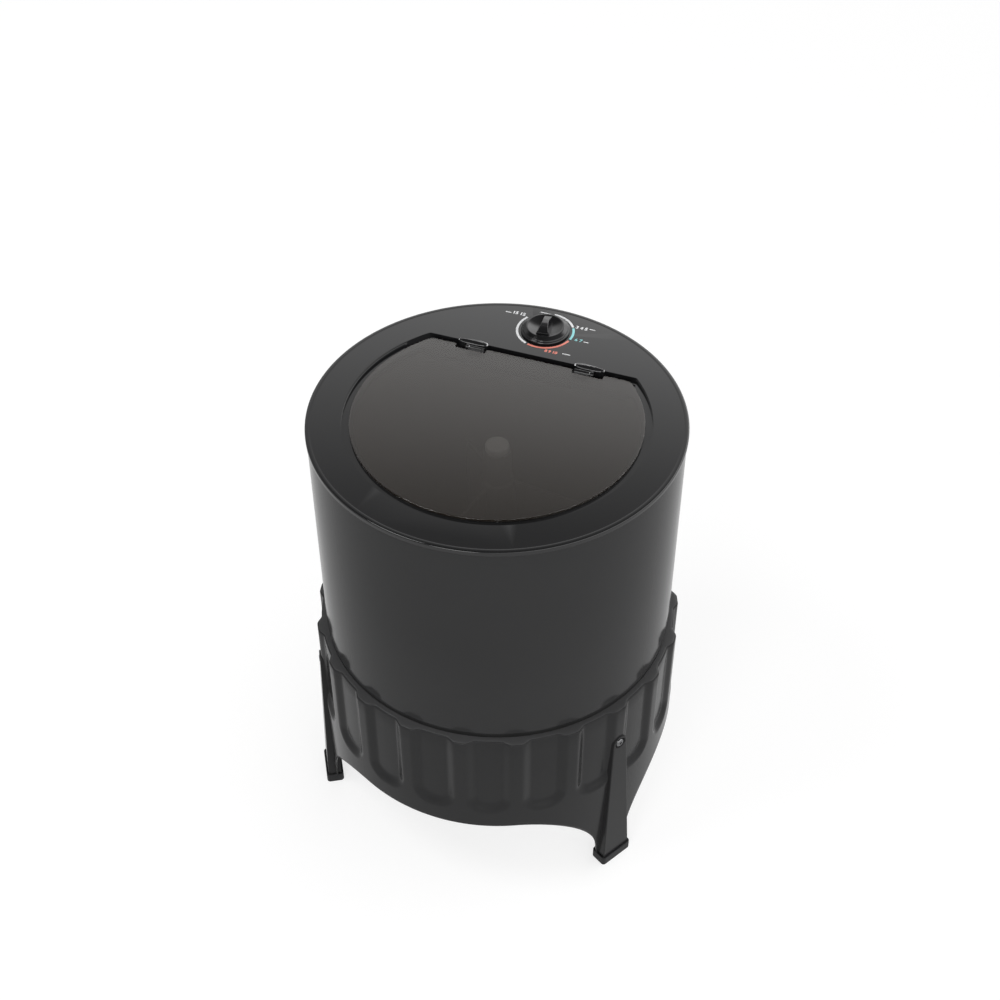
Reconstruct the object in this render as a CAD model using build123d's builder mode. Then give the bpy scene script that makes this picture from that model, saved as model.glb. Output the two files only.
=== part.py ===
from build123d import *
from math import atan2, cos, degrees, pi, radians, sin, sqrt
import os

# Round top-loading washing machine on a fluted three-legged base, in millimetres.
# The origin is the point of the floor under the drum's axis, +Z is up, and the lid opens
# from the front, -Y, about hinges at the rear, +Y.

os.makedirs("parts", exist_ok=True)

# Driving sizes of the whole machine
deck_height = 705.0
drum_radius = 255.0
drum_foot = 349.0
drum_wall = 3.0
base_radius = 270.0
base_height = 341.0
moulding_wall = 3.0
leg_count = 3
leg_turn = 360 / leg_count
first_leg_angle = 60.0

# Named clearances
running_clearance = 0.05
slip_clearance = 0.3
hinge_clearance = 0.7
screw_hole_clearance = 0.2

# Base: fluted wall, seat pan, arches
ledge_thickness = 3.0
pan_inner_radius = 200.0
flute_count = 21
flute_depth = 7.0
flute_width = 52.0
flute_foot = 193.0
flute_corner_radius = 22.0
arch_height = 155.0
arch_flat_half_width = 115.0
arch_shoulder_width = 103.0
arch_spring_height = 25.0

# Legs and rubber feet
foot_height = 17.0
foot_sole = 5.0
foot_wall = 3.0
foot_corner_radius = 5.0
leg_foot_width = 50.0
leg_foot_inner_radius = 260.0
leg_foot_outer_radius = 281.0
leg_top_width = 25.0
leg_top_outer_radius = 272.5
leg_screw_height = 270.0
leg_boss_inner_radius = 259.5
leg_boss_radius = 9.0
leg_boss_overlap = 1.0

# Deck, lid well and lid
deck_overhang = 1.5
deck_plate = 3.0
deck_rim_height = 6.0
deck_rim_fillet = 2.0
deck_skirt_depth = 21.0
well_radius = 208.5
well_back = 142.0
well_corner_radius = 6.0
ledge_drop = 5.5
well_ledge_thickness = 3.0
mouth_radius = 192.0
mouth_back = 112.0
mouth_corner_radius = 12.0
splash_lip_depth = 25.0
trough_half_width = 146.0
trough_drop = 15.0
trough_front_wall_drop = 8.0
drain_hole_radius = 2.5
drain_hole_x = 152.0
drain_hole_y = 131.0
lid_radius = 198.0
lid_back = 133.0
lid_corner_radius = 8.0
lid_thickness = 3.5
lid_top_drop = 0.9
lid_edge_chamfer = 0.6

# Lid hinges
hinge_centre_x = 86.0
hinge_length = 42.0
hinge_axis_y = 131.0
hinge_axis_drop = 2.4
knuckle_radius = 3.9
knuckle_length = 22.0
hinge_pin_radius = 2.0
ear_thickness = 4.5
notch_margin = 1.5
notch_depth = 8.5
leaf_pad_length = 9.0
leaf_pad_thickness = 1.8
hinge_bar_rise = 2.5
hinge_screw_radius = 1.5
hinge_screw_spacing = 28.0
hinge_screw_grip = 7.0
hinge_screw_spare = 1.0
hinge_head_radius = 3.0
hinge_head_height = 1.5
hinge_bar_end_flat = 0.1
hinge_pin_inset = 1.5
bumper_radius = 3.0
bumper_height = 0.8
bumper_angles = (20, 60, 100, -20, -60, -100)

# Wash tub
tub_radius = 222.0
tub_back = 152.0
tub_corner_radius = 25.0
tub_wall = 3.0
tub_floor = 4.0
tub_flange_radius = 240.0
tub_flange_back = 166.0
tub_flange_thickness = 3.0
tub_flange_drop = 8.0
tub_foot_radius = 236.0
tub_hub_radius = 56.0
tub_hub_height = 8.0
gasket_thickness = 2.0
gasket_inner_radius = 223.0
gasket_inner_back = 153.5
gasket_width = 8.0
flange_screw_radius = 1.9
flange_head_radius = 3.8
flange_head_height = 2.5
flange_screw_circle = 235.5
flange_screw_angles = (0, 55, 110, -110, -55)
deck_boss_radius = 4.2

# Drum seat ring under the drum
seat_ring_inner_radius = 239.0
seat_ring_outer_radius = 254.0
drum_hem_inner_radius = 240.0
seat_screw_circle = 245.5
seat_screw_count = 6
seat_screw_radius = 2.0
seat_screw_start = 30.0
seat_head_radius = 4.0
seat_head_height = 2.5

# Bearing housing under the tub
shaft_radius = 8.0
bush_radius = 16.0
bush_length = 18.0
neck_radius = 25.0
neck_rise = 21.0
sleeve_radius = 23.0
sleeve_foot = 288.0
housing_flange_radius = 54.0
housing_flange_thickness = 6.0
housing_screw_circle = 44.0
housing_screw_radius = 2.5
housing_screw_angles = (45, 135, 225, 315)
housing_head_radius = 4.5
housing_head_height = 3.0
hub_hole_margin = 2.0
hub_hole_spare = 1.0
shaft_seal_height = 8.0

# Agitator
agitator_radius = 135.0
agitator_foot = 353.0
agitator_wall = 3.0
agitator_bell_height = 20.0
agitator_barrel_radius = 44.0
column_foot_radius = 24.0
column_step_height = 594.0
column_radius = 20.0
column_top_radius = 19.0
column_top = 648.0
cap_radius = 16.5
cap_rise = 9.0
cap_edge_radius = 3.0
cap_plug_depth = 10.0
fin_count = 3
fin_thickness = 5.0
fin_reach = 124.0
fin_outer_height = 563.0
fin_inner_height = 592.0
fin_start_angle = 100.0
agitator_boss_radius = 16.0
agitator_boss_foot = 373.0
shaft_top = 420.0
web_thickness = 8.0
agitator_screw_radius = 3.0
agitator_hole_depth = 22.0
agitator_screw_reach = 20.0
agitator_head_radius = 6.5
agitator_head_height = 5.0
agitator_washer_radius = 13.0
agitator_washer_thickness = 2.0

# Drive: pulleys, belt and motor
pulley_foot = 203.0
pulley_height = 18.0
large_pulley_radius = 95.0
large_pulley_hub_radius = 18.0
large_pulley_web = 5.0
large_pulley_rim = 14.0
lightening_hole_radius = 20.0
lightening_hole_circle = 50.0
lightening_hole_count = 5
small_pulley_radius = 21.0
belt_height = 8.0
belt_thickness = 6.0
belt_sink = 6.0
groove_clearance = 0.5
cut_margin = 1.0
shaft_foot = 184.0
pulley_nut_radius = 13.0
pulley_nut_height = 9.0
thrust_collar_radius = 12.0
thrust_collar_height = 10.0
motor_offset = 132.0
motor_radius = 52.0
motor_foot = 236.0
motor_height = 86.0
motor_shell = 3.0
motor_end_thickness = 10.0
motor_edge_radius = 6.0
motor_end_web = 2.0
motor_shaft_gap = 1.0
motor_shaft_radius = 6.0
motor_bearing_radius = 11.0
rotor_radius = 30.0
rotor_height = 48.0
stator_gap = 0.5
motor_lug_spacing_x = 124.0
motor_lug_spacing_y = 50.0
motor_lug_margin = 12.0
motor_lug_thickness = 4.0
motor_bush_radius = 9.0
motor_bush_height = 8.0
motor_bolt_radius = 4.0
motor_bolt_head_height = 5.0
motor_nut_radius = 7.2
motor_nut_height = 5.5
motor_plate_thickness = 4.0
motor_plate_width = 80.0
motor_plate_radius = 256.0
motor_plate_half_length = 214.0
plate_boss_height = 4.0
plate_boss_radius = 7.0
plate_screw_points = ((204.0, 104.0), (198.0, 148.0))
plate_screw_radius = 2.5
plate_head_radius = 5.0
plate_head_height = 3.0
capacitor_x = 140.0
capacitor_radius = 19.0
capacitor_height = 62.0
capacitor_edge_radius = 2.0
capacitor_clip_height = 16.0
capacitor_clip_wall = 2.0

# Steel brackets that tie the legs to the tub
bracket_width = 30.0
bracket_thickness = 3.0
bracket_drop = 90.0
bracket_tab_length = 38.0
tab_screw_circle = 229.0
tab_screw_radius = 2.5
tab_head_radius = 5.0
tab_head_height = 3.0
leg_screw_radius = 3.0
leg_screw_head_radius = 7.0
leg_screw_head_height = 3.5
leg_screw_length = 24.0
leg_screw_recess = 2.5
leg_recess_margin = 2.0
leg_slot_width = 2.0
leg_slot_length = 9.8
leg_slot_depth = 1.5

# Drain
drain_angle = -120.0
drain_circle = 140.0
drain_height = 262.0
drain_pipe_radius = 15.0
drain_pipe_bore = 12.5
drain_bend_radius = 24.0
drain_run = 46.0
drain_flange_radius = 24.0
drain_flange_thickness = 4.0
strainer_radius = 24.0
strainer_height = 3.0
strainer_hole_radius = 2.2
strainer_ring_radii = (6.0, 11.0)
strainer_ring_counts = (6, 12)
hose_wall = 3.0
hose_overlap = 14.0
clamp_width = 9.0
clamp_thickness = 1.8
clamp_inset = 2.0
spigot_inner_reach = 34.0
spigot_flange_radius = 21.0
spigot_flange_thickness = 4.0
spigot_nut_radius = 23.0
spigot_nut_sides = 8
spigot_nut_height = 6.0
spigot_tail_radius = 12.0
spigot_tail_length = 26.0
spigot_bore_radius = 9.5
spigot_shoulder = 3.0

# Cable gland
gland_angle = 120.0
gland_height = 240.0
gland_bore_radius = 4.2
gland_thread_radius = 7.5
gland_head_radius = 11.0
gland_head_height = 9.0
gland_nut_radius = 12.0
gland_nut_height = 5.0
gland_tail = 12.0

# Flat pads inside the wall behind the spigot and the gland
port_pad_depth = 1.0
port_pad_margin = 2.0

# Timer and knob
knob_y = 201.5
timer_width = 56.0
timer_depth = 50.0
timer_height = 34.0
timer_bracket_width = 66.0
timer_bracket_depth = 40.0
timer_bracket_thickness = 1.5
timer_spindle_radius = 3.0
timer_spindle_depth = 12.0
timer_spindle_end_gap = 1.0
timer_screw_spacing = 36.0
timer_screw_radius = 1.9
timer_screw_head_radius = 3.4
timer_screw_head_height = 1.8
timer_screw_length = 10.0
timer_screw_sink = 0.1
deck_spindle_hole_radius = 5.5
knob_gap = 0.6
knob_radius = 35.0
knob_height = 8.6
knob_wall = 2.0
knob_skirt_height = 2.2
knob_cone_radius = 34.2
knob_cone_height = 3.4
knob_band_foot_radius = 32.8
knob_band_foot_height = 4.0
knob_band_radius = 32.4
knob_band_height = 5.4
knob_rim_radius = 27.4
knob_dish_radius = 25.4
knob_dish_floor_radius = 17.0
knob_dish_depth = 4.2
knob_hub_radius = 7.0
grip_length = 44.0
grip_front_width = 20.0
grip_rear_width = 13.0
grip_rise = 8.8
grip_corner_radius = 4.0
grip_taper = 12.0
grip_slope_start = 5.0
grip_rest_turn = 8.0

# Heights and radii that follow from the driving sizes
deck_underside = deck_height - deck_plate
drum_top = deck_height - deck_rim_height
well_ledge_top = deck_height - ledge_drop
trough_floor_top = deck_height - trough_drop
flute_floor_radius = base_radius - flute_depth
base_inner_radius = base_radius - moulding_wall
flute_back_radius = flute_floor_radius - moulding_wall
port_pad_radius = flute_back_radius - port_pad_depth
ledge_underside = base_height - ledge_thickness
tub_flange_top = deck_height - tub_flange_drop
tub_floor_top = base_height + tub_floor
lid_top = deck_height - lid_top_drop
lid_underside = lid_top - lid_thickness
hinge_axis_height = deck_height - hinge_axis_drop
neck_top = tub_floor_top + neck_rise
plate_top = ledge_underside - plate_boss_height
plate_underside = plate_top - motor_plate_thickness
motor_lug_top = plate_underside - motor_bush_height
motor_top = motor_foot + motor_height
flute_angles = [360 / flute_count * i for i in range(flute_count)]
land_angles = [angle + 180 / flute_count for angle in flute_angles]
leg_angles = [first_leg_angle + leg_turn * i for i in range(leg_count)]
leg_foot_depth = leg_foot_outer_radius - leg_foot_inner_radius
leg_foot_middle = (leg_foot_outer_radius + leg_foot_inner_radius) / 2
leg_top_inner_radius = base_inner_radius - moulding_wall
leg_top_middle = (leg_top_outer_radius + leg_top_inner_radius) / 2
arch_angles = [leg_turn * i for i in range(leg_count)]
seat_screw_angles = [seat_screw_start + 360 / seat_screw_count * i for i in range(seat_screw_count)]


def polar_point(radius, angle, height=0.0):
    """Point at an angle from the front, positive towards +X."""
    return Vector(radius * sin(radians(angle)), -radius * cos(radians(angle)), height)


def outward_plane(radius, angle, height):
    """Plane that faces away from the axis: its x runs round the machine, its y runs up."""
    turn = radians(angle)
    return Plane(
        origin=polar_point(radius, angle, height),
        x_dir=(cos(turn), sin(turn), 0),
        z_dir=(sin(turn), -cos(turn), 0),
    )


def level_plane(radius, angle, height):
    """Level plane whose x runs round the machine and whose y runs towards the axis."""
    turn = radians(angle)
    return Plane(
        origin=polar_point(radius, angle, height),
        x_dir=(cos(turn), sin(turn), 0),
        z_dir=(0, 0, 1),
    )


def ring(outer_radius, inner_radius, foot, height, mode=Mode.ADD):
    """Flat ring about the axis."""
    with BuildSketch(Plane.XY.offset(foot)) as profile:
        Circle(outer_radius)
        Circle(inner_radius, mode=Mode.SUBTRACT)
    extrude(profile.sketch, amount=height, mode=mode)


def disc(plane, radius, height, mode=Mode.ADD):
    """Round disc, boss or hole that grows along the plane's normal."""
    with BuildSketch(plane) as profile:
        Circle(radius)
    extrude(profile.sketch, amount=height, mode=mode)


def tube(plane, outer_radius, inner_radius, height):
    """Tube that grows along the plane's normal."""
    with BuildSketch(plane) as profile:
        Circle(outer_radius)
        Circle(inner_radius, mode=Mode.SUBTRACT)
    extrude(profile.sketch, amount=height)


def block(plane, width, depth, height, mode=Mode.ADD):
    """Rectangular block that grows along the plane's normal."""
    with BuildSketch(plane) as profile:
        Rectangle(width, depth)
    extrude(profile.sketch, amount=height, mode=mode)


def screw(seat, head_radius, head_height, shank_radius, shank_length):
    """Round-headed screw: the head stands on the seat and the shank runs below it."""
    disc(seat, head_radius, head_height)
    disc(seat, shank_radius, -shank_length)


def leg_bodies(mode=Mode.ADD):
    """Three solid legs: a foot, a tapered shank, a round head and a boss behind it."""
    for angle in leg_angles:
        foot_plane = level_plane(leg_foot_middle, angle, foot_sole)
        block(foot_plane, leg_foot_width, leg_foot_depth, foot_height - foot_sole, mode=mode)
        with BuildSketch(level_plane(leg_foot_middle, angle, foot_height)) as shank_foot:
            Rectangle(leg_foot_width, leg_foot_depth)
        with BuildSketch(level_plane(leg_top_middle, angle, leg_screw_height)) as shank_top:
            Rectangle(leg_top_width, leg_top_outer_radius - leg_top_inner_radius)
        loft([shank_foot.sketch, shank_top.sketch], ruled=True, mode=mode)
        boss_plane = outward_plane(leg_boss_inner_radius, angle, leg_screw_height)
        boss_length = base_inner_radius + leg_boss_overlap - leg_boss_inner_radius
        disc(boss_plane, leg_boss_radius, boss_length, mode=mode)
        cap_plane = outward_plane(base_inner_radius, angle, leg_screw_height)
        disc(cap_plane, leg_top_width / 2, leg_top_outer_radius - base_inner_radius, mode=mode)


def skirt_panel(wall, middle_angle):
    """Third of the wall between two legs, parted in line with their middles."""
    add(wall)
    half_turn = leg_turn / 2
    reach = 2 * base_radius
    with BuildSketch(Plane.XY) as sector:
        with BuildLine() as outline:
            Polyline(
                (0, 0),
                polar_point(reach, middle_angle - half_turn),
                polar_point(reach, middle_angle),
                polar_point(reach, middle_angle + half_turn),
                close=True,
            )
        make_face(outline.edges())
    extrude(sector.sketch, amount=base_height, mode=Mode.INTERSECT)


def d_face(radius, back, corner, mode=Mode.ADD):
    """Disc cut straight at y = back, with its two rear corners rounded."""
    corner_x = sqrt((radius - corner) ** 2 - (back - corner) ** 2)
    corner_angle = degrees(atan2(back - corner, corner_x))
    with BuildLine() as outline:
        Line((-corner_x, back), (corner_x, back))
        CenterArc((corner_x, back - corner), corner, corner_angle, 90 - corner_angle)
        CenterArc((0, 0), radius, 180 - corner_angle, 180 + 2 * corner_angle)
        CenterArc((-corner_x, back - corner), corner, 90, 90 - corner_angle)
    make_face(outline.edges(), mode=mode)


def d_plate(radius, back, corner, foot, height, mode=Mode.ADD):
    """Solid plate with the lid's outline family."""
    with BuildSketch(Plane.XY.offset(foot)) as profile:
        d_face(radius, back, corner)
    extrude(profile.sketch, amount=height, mode=mode)


def d_ring(radius, back, corner, width, foot, height):
    """Upright wall or flat rim of one width that follows the lid's outline family."""
    with BuildSketch(Plane.XY.offset(foot)) as profile:
        d_face(radius, back, corner)
        d_face(radius - width, back - width, corner - width, mode=Mode.SUBTRACT)
    extrude(profile.sketch, amount=height)


# Fluted wall with three arches and openings for the legs, before it is parted into panels
with BuildPart() as skirt_wall:
    ring(base_radius, flute_back_radius, foot_height, base_height - foot_height)
    for angle in flute_angles:
        with BuildSketch(outward_plane(flute_floor_radius, angle, flute_foot)):
            with Locations((0, base_height - flute_foot)):
                Rectangle(flute_width, 2 * (base_height - flute_foot))
            fillet(vertices().group_by(Axis.Y)[0], flute_corner_radius)
        extrude(amount=2 * flute_depth, mode=Mode.SUBTRACT)
    pocket_foot = flute_foot - moulding_wall
    disc(Plane.XY, base_inner_radius, pocket_foot, mode=Mode.SUBTRACT)
    pocket_height = ledge_underside - pocket_foot
    pocket_width = 2 * pi * flute_floor_radius / flute_count - flute_width - 2 * moulding_wall
    for angle in land_angles:
        pocket_middle = pocket_foot + pocket_height / 2
        pocket_plane = outward_plane(flute_back_radius - moulding_wall, angle, pocket_middle)
        pocket_depth = flute_depth + moulding_wall
        block(pocket_plane, pocket_width, pocket_height, pocket_depth, mode=Mode.SUBTRACT)
    arch_half_width = arch_flat_half_width + arch_shoulder_width
    for angle in arch_angles:
        with BuildSketch(outward_plane(0, angle, 0)):
            Rectangle(2 * arch_flat_half_width, 2 * arch_height)
            Rectangle(2 * arch_half_width, 2 * arch_spring_height)
            with Locations(
                (-arch_flat_half_width, arch_spring_height),
                (arch_flat_half_width, arch_spring_height),
            ):
                Ellipse(arch_shoulder_width, arch_height - arch_spring_height)
        extrude(amount=2 * base_radius, mode=Mode.SUBTRACT)
    leg_bodies(mode=Mode.SUBTRACT)

# Skirt panel over the front arch
with BuildPart() as skirt_front:
    skirt_panel(skirt_wall.part, arch_angles[0])
skirt_front.part.label = "skirt_front"
export_step(skirt_front.part, "parts/skirt_front.step")

# Skirt panel over the rear right arch, with the cable gland's pad
with BuildPart() as skirt_right:
    skirt_panel(skirt_wall.part, arch_angles[1])
    gland_pad_plane = outward_plane(port_pad_radius, gland_angle, gland_height)
    disc(gland_pad_plane, gland_nut_radius + port_pad_margin, 2 * port_pad_depth)
    gland_hole_plane = outward_plane(drain_circle, gland_angle, gland_height)
    disc(gland_hole_plane, gland_thread_radius + slip_clearance, base_radius, mode=Mode.SUBTRACT)
skirt_right.part.label = "skirt_right"
export_step(skirt_right.part, "parts/skirt_right.step")

# Skirt panel over the rear left arch, with the drain spigot's pad
with BuildPart() as skirt_left:
    skirt_panel(skirt_wall.part, arch_angles[2])
    drain_pad_plane = outward_plane(port_pad_radius, drain_angle, drain_height)
    disc(drain_pad_plane, spigot_nut_radius, 2 * port_pad_depth)
    spigot_hole_plane = outward_plane(drain_circle, drain_angle, drain_height)
    disc(spigot_hole_plane, drain_pipe_radius + slip_clearance, base_radius, mode=Mode.SUBTRACT)
skirt_left.part.label = "skirt_left"
export_step(skirt_left.part, "parts/skirt_left.step")

# Three hollow legs between the panels, each with a sunk seat for its screw
with BuildPart() as base_legs:
    leg_bodies()
    for angle in leg_angles:
        cavity_foot = foot_sole + moulding_wall
        cavity_middle = leg_foot_middle - moulding_wall
        with BuildSketch(level_plane(cavity_middle, angle, cavity_foot)):
            Rectangle(leg_foot_width - 2 * moulding_wall, leg_foot_depth)
        with BuildSketch(level_plane(leg_top_middle - moulding_wall, angle, flute_foot)):
            Rectangle(leg_top_width - 2 * moulding_wall, leg_top_outer_radius - leg_top_inner_radius)
        loft(ruled=True, mode=Mode.SUBTRACT)
        recess_plane = outward_plane(leg_top_outer_radius, angle, leg_screw_height)
        recess_radius = leg_screw_head_radius + leg_recess_margin
        disc(recess_plane, recess_radius, -leg_screw_recess, mode=Mode.SUBTRACT)
        disc(recess_plane, recess_radius, leg_screw_recess, mode=Mode.SUBTRACT)
        hole_radius = leg_screw_radius + screw_hole_clearance
        disc(recess_plane, hole_radius, -leg_screw_length, mode=Mode.SUBTRACT)
base_legs.part.label = "base_legs"
export_step(base_legs.part, "parts/base_legs.step")

# Seat pan: flat ring pressed into the wall's rim, which carries the drum, the tub and the motor plate
with BuildPart() as seat_pan:
    ring(flute_back_radius, pan_inner_radius, ledge_underside, ledge_thickness)
    for x, y in plate_screw_points:
        for side in (-1, 1):
            boss_seat = Plane((side * x, y, plate_top))
            disc(boss_seat, plate_boss_radius, plate_boss_height)
            disc(boss_seat, plate_screw_radius, plate_boss_height + ledge_thickness, mode=Mode.SUBTRACT)
    for angle in seat_screw_angles:
        seat_point = polar_point(seat_screw_circle, angle, ledge_underside)
        disc(Plane(seat_point), seat_screw_radius, ledge_thickness, mode=Mode.SUBTRACT)
    for angle in leg_angles:
        tab_point = polar_point(tab_screw_circle, angle, ledge_underside)
        disc(Plane(tab_point), tab_screw_radius, ledge_thickness, mode=Mode.SUBTRACT)
seat_pan.part.label = "seat_pan"
export_step(seat_pan.part, "parts/seat_pan.step")

# Rubber feet over the ends of the legs
with BuildPart() as rubber_feet:
    for angle in leg_angles:
        boot_plane = level_plane(leg_foot_middle, angle, 0)
        with BuildSketch(boot_plane):
            RectangleRounded(
                leg_foot_width + 2 * foot_wall, leg_foot_depth + 2 * foot_wall, foot_corner_radius
            )
        extrude(amount=foot_height)
        block(
            boot_plane.offset(foot_sole), leg_foot_width, leg_foot_depth, foot_height, mode=Mode.SUBTRACT
        )
rubber_feet.part.label = "rubber_feet"
export_step(rubber_feet.part, "parts/rubber_feet.step")

# Leg brackets: an upright behind the wall and a tab under the seat pan
bracket_face_radius = leg_boss_inner_radius
with BuildPart() as leg_brackets:
    for angle in leg_angles:
        upright_plane = outward_plane(bracket_face_radius, angle, ledge_underside - bracket_drop / 2)
        block(upright_plane, bracket_width, bracket_drop, -bracket_thickness)
        tab_middle = bracket_face_radius - bracket_tab_length / 2
        tab_plane = level_plane(tab_middle, angle, ledge_underside)
        block(tab_plane, bracket_width, bracket_tab_length, -bracket_thickness)
        disc(
            outward_plane(bracket_face_radius, angle, leg_screw_height),
            leg_screw_radius,
            -bracket_thickness,
            mode=Mode.SUBTRACT,
        )
        tab_hole = polar_point(tab_screw_circle, angle, ledge_underside)
        disc(Plane(tab_hole), tab_screw_radius, -bracket_thickness, mode=Mode.SUBTRACT)
leg_brackets.part.label = "leg_brackets"
export_step(leg_brackets.part, "parts/leg_brackets.step")

# Screws through the legs into the brackets
with BuildPart() as leg_screws:
    for angle in leg_angles:
        screw_seat = outward_plane(leg_top_outer_radius - leg_screw_recess, angle, leg_screw_height)
        screw(
            screw_seat, leg_screw_head_radius, leg_screw_head_height, leg_screw_radius, leg_screw_length
        )
        slot_plane = screw_seat.offset(leg_screw_head_height)
        block(slot_plane, leg_slot_width, leg_slot_length, -leg_slot_depth, mode=Mode.SUBTRACT)
        block(slot_plane, leg_slot_length, leg_slot_width, -leg_slot_depth, mode=Mode.SUBTRACT)
leg_screws.part.label = "leg_screws"
export_step(leg_screws.part, "parts/leg_screws.step")

# Screws from the bracket tabs up into the tub's foot
with BuildPart() as tab_screws:
    for angle in leg_angles:
        tab_seat = Plane(
            origin=polar_point(tab_screw_circle, angle, ledge_underside - bracket_thickness),
            z_dir=(0, 0, -1),
        )
        tab_length = bracket_thickness + ledge_thickness + tub_floor
        screw(tab_seat, tab_head_radius, tab_head_height, tab_screw_radius, tab_length)
tab_screws.part.label = "tab_screws"
export_step(tab_screws.part, "parts/tab_screws.step")

# Ring that seats the drum on the base
with BuildPart() as drum_seat_ring:
    ring(seat_ring_outer_radius, seat_ring_inner_radius, base_height, drum_foot - base_height)
    for angle in seat_screw_angles:
        seat_point = polar_point(seat_screw_circle, angle, base_height)
        disc(Plane(seat_point), seat_screw_radius, drum_foot - base_height, mode=Mode.SUBTRACT)
drum_seat_ring.part.label = "drum_seat_ring"
export_step(drum_seat_ring.part, "parts/drum_seat_ring.step")

# Outer drum with an in-turned hem at its foot
with BuildPart() as outer_drum:
    ring(drum_radius, drum_radius - drum_wall, drum_foot, drum_top - drum_foot)
    ring(drum_radius, drum_hem_inner_radius, drum_foot, drum_wall)
    for angle in seat_screw_angles:
        hem_point = polar_point(seat_screw_circle, angle, drum_foot)
        disc(Plane(hem_point), seat_screw_radius, drum_wall, mode=Mode.SUBTRACT)
outer_drum.part.label = "outer_drum"
export_step(outer_drum.part, "parts/outer_drum.step")

# Screws from the base through the seat ring into the drum's hem
with BuildPart() as drum_screws:
    for angle in seat_screw_angles:
        seat_plane = Plane(
            origin=polar_point(seat_screw_circle, angle, ledge_underside),
            z_dir=(0, 0, -1),
        )
        seat_length = drum_foot + drum_wall - ledge_underside
        screw(seat_plane, seat_head_radius, seat_head_height, seat_screw_radius, seat_length)
drum_screws.part.label = "drum_screws"
export_step(drum_screws.part, "parts/drum_screws.step")

# Wash tub: upright wall behind the lid's outline, hung by a flange and standing on the base
drain_point = polar_point(drain_circle, drain_angle)
with BuildPart() as wash_tub:
    disc(Plane.XY.offset(base_height), tub_foot_radius, tub_floor)
    d_ring(
        tub_radius, tub_back, tub_corner_radius, tub_wall, base_height, tub_flange_top - base_height
    )
    with BuildSketch(Plane.XY.offset(tub_flange_top - tub_flange_thickness)):
        d_face(tub_flange_radius, tub_flange_back, tub_corner_radius)
        d_face(
            tub_radius - tub_wall,
            tub_back - tub_wall,
            tub_corner_radius - tub_wall,
            mode=Mode.SUBTRACT,
        )
    extrude(amount=tub_flange_thickness)
    disc(Plane.XY.offset(tub_floor_top), tub_hub_radius, tub_hub_height)
    disc(
        Plane.XY.offset(base_height), neck_radius + slip_clearance, 3 * tub_hub_height, mode=Mode.SUBTRACT
    )
    disc(
        Plane((drain_point.X, drain_point.Y, base_height)), drain_pipe_radius, tub_floor, mode=Mode.SUBTRACT
    )
    hub_hole_depth = tub_floor + tub_hub_height - hub_hole_margin
    for angle in housing_screw_angles:
        hub_hole = polar_point(housing_screw_circle, angle, base_height)
        disc(Plane(hub_hole), housing_screw_radius, hub_hole_depth, mode=Mode.SUBTRACT)
    for angle in leg_angles:
        foot_hole = polar_point(tab_screw_circle, angle, base_height)
        disc(Plane(foot_hole), tab_screw_radius, tub_floor, mode=Mode.SUBTRACT)
    for angle in flange_screw_angles:
        flange_hole = polar_point(flange_screw_circle, angle, tub_flange_top - tub_flange_thickness)
        disc(Plane(flange_hole), flange_screw_radius, tub_flange_thickness, mode=Mode.SUBTRACT)
wash_tub.part.label = "wash_tub"
export_step(wash_tub.part, "parts/wash_tub.step")

# Gasket between the tub's flange and the deck
gasket_corner_radius = tub_corner_radius
with BuildPart() as tub_gasket:
    d_ring(
        gasket_inner_radius + gasket_width,
        gasket_inner_back + gasket_width,
        gasket_corner_radius + gasket_width,
        gasket_width,
        tub_flange_top,
        gasket_thickness,
    )
tub_gasket.part.label = "tub_gasket"
export_step(tub_gasket.part, "parts/tub_gasket.step")

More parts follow.
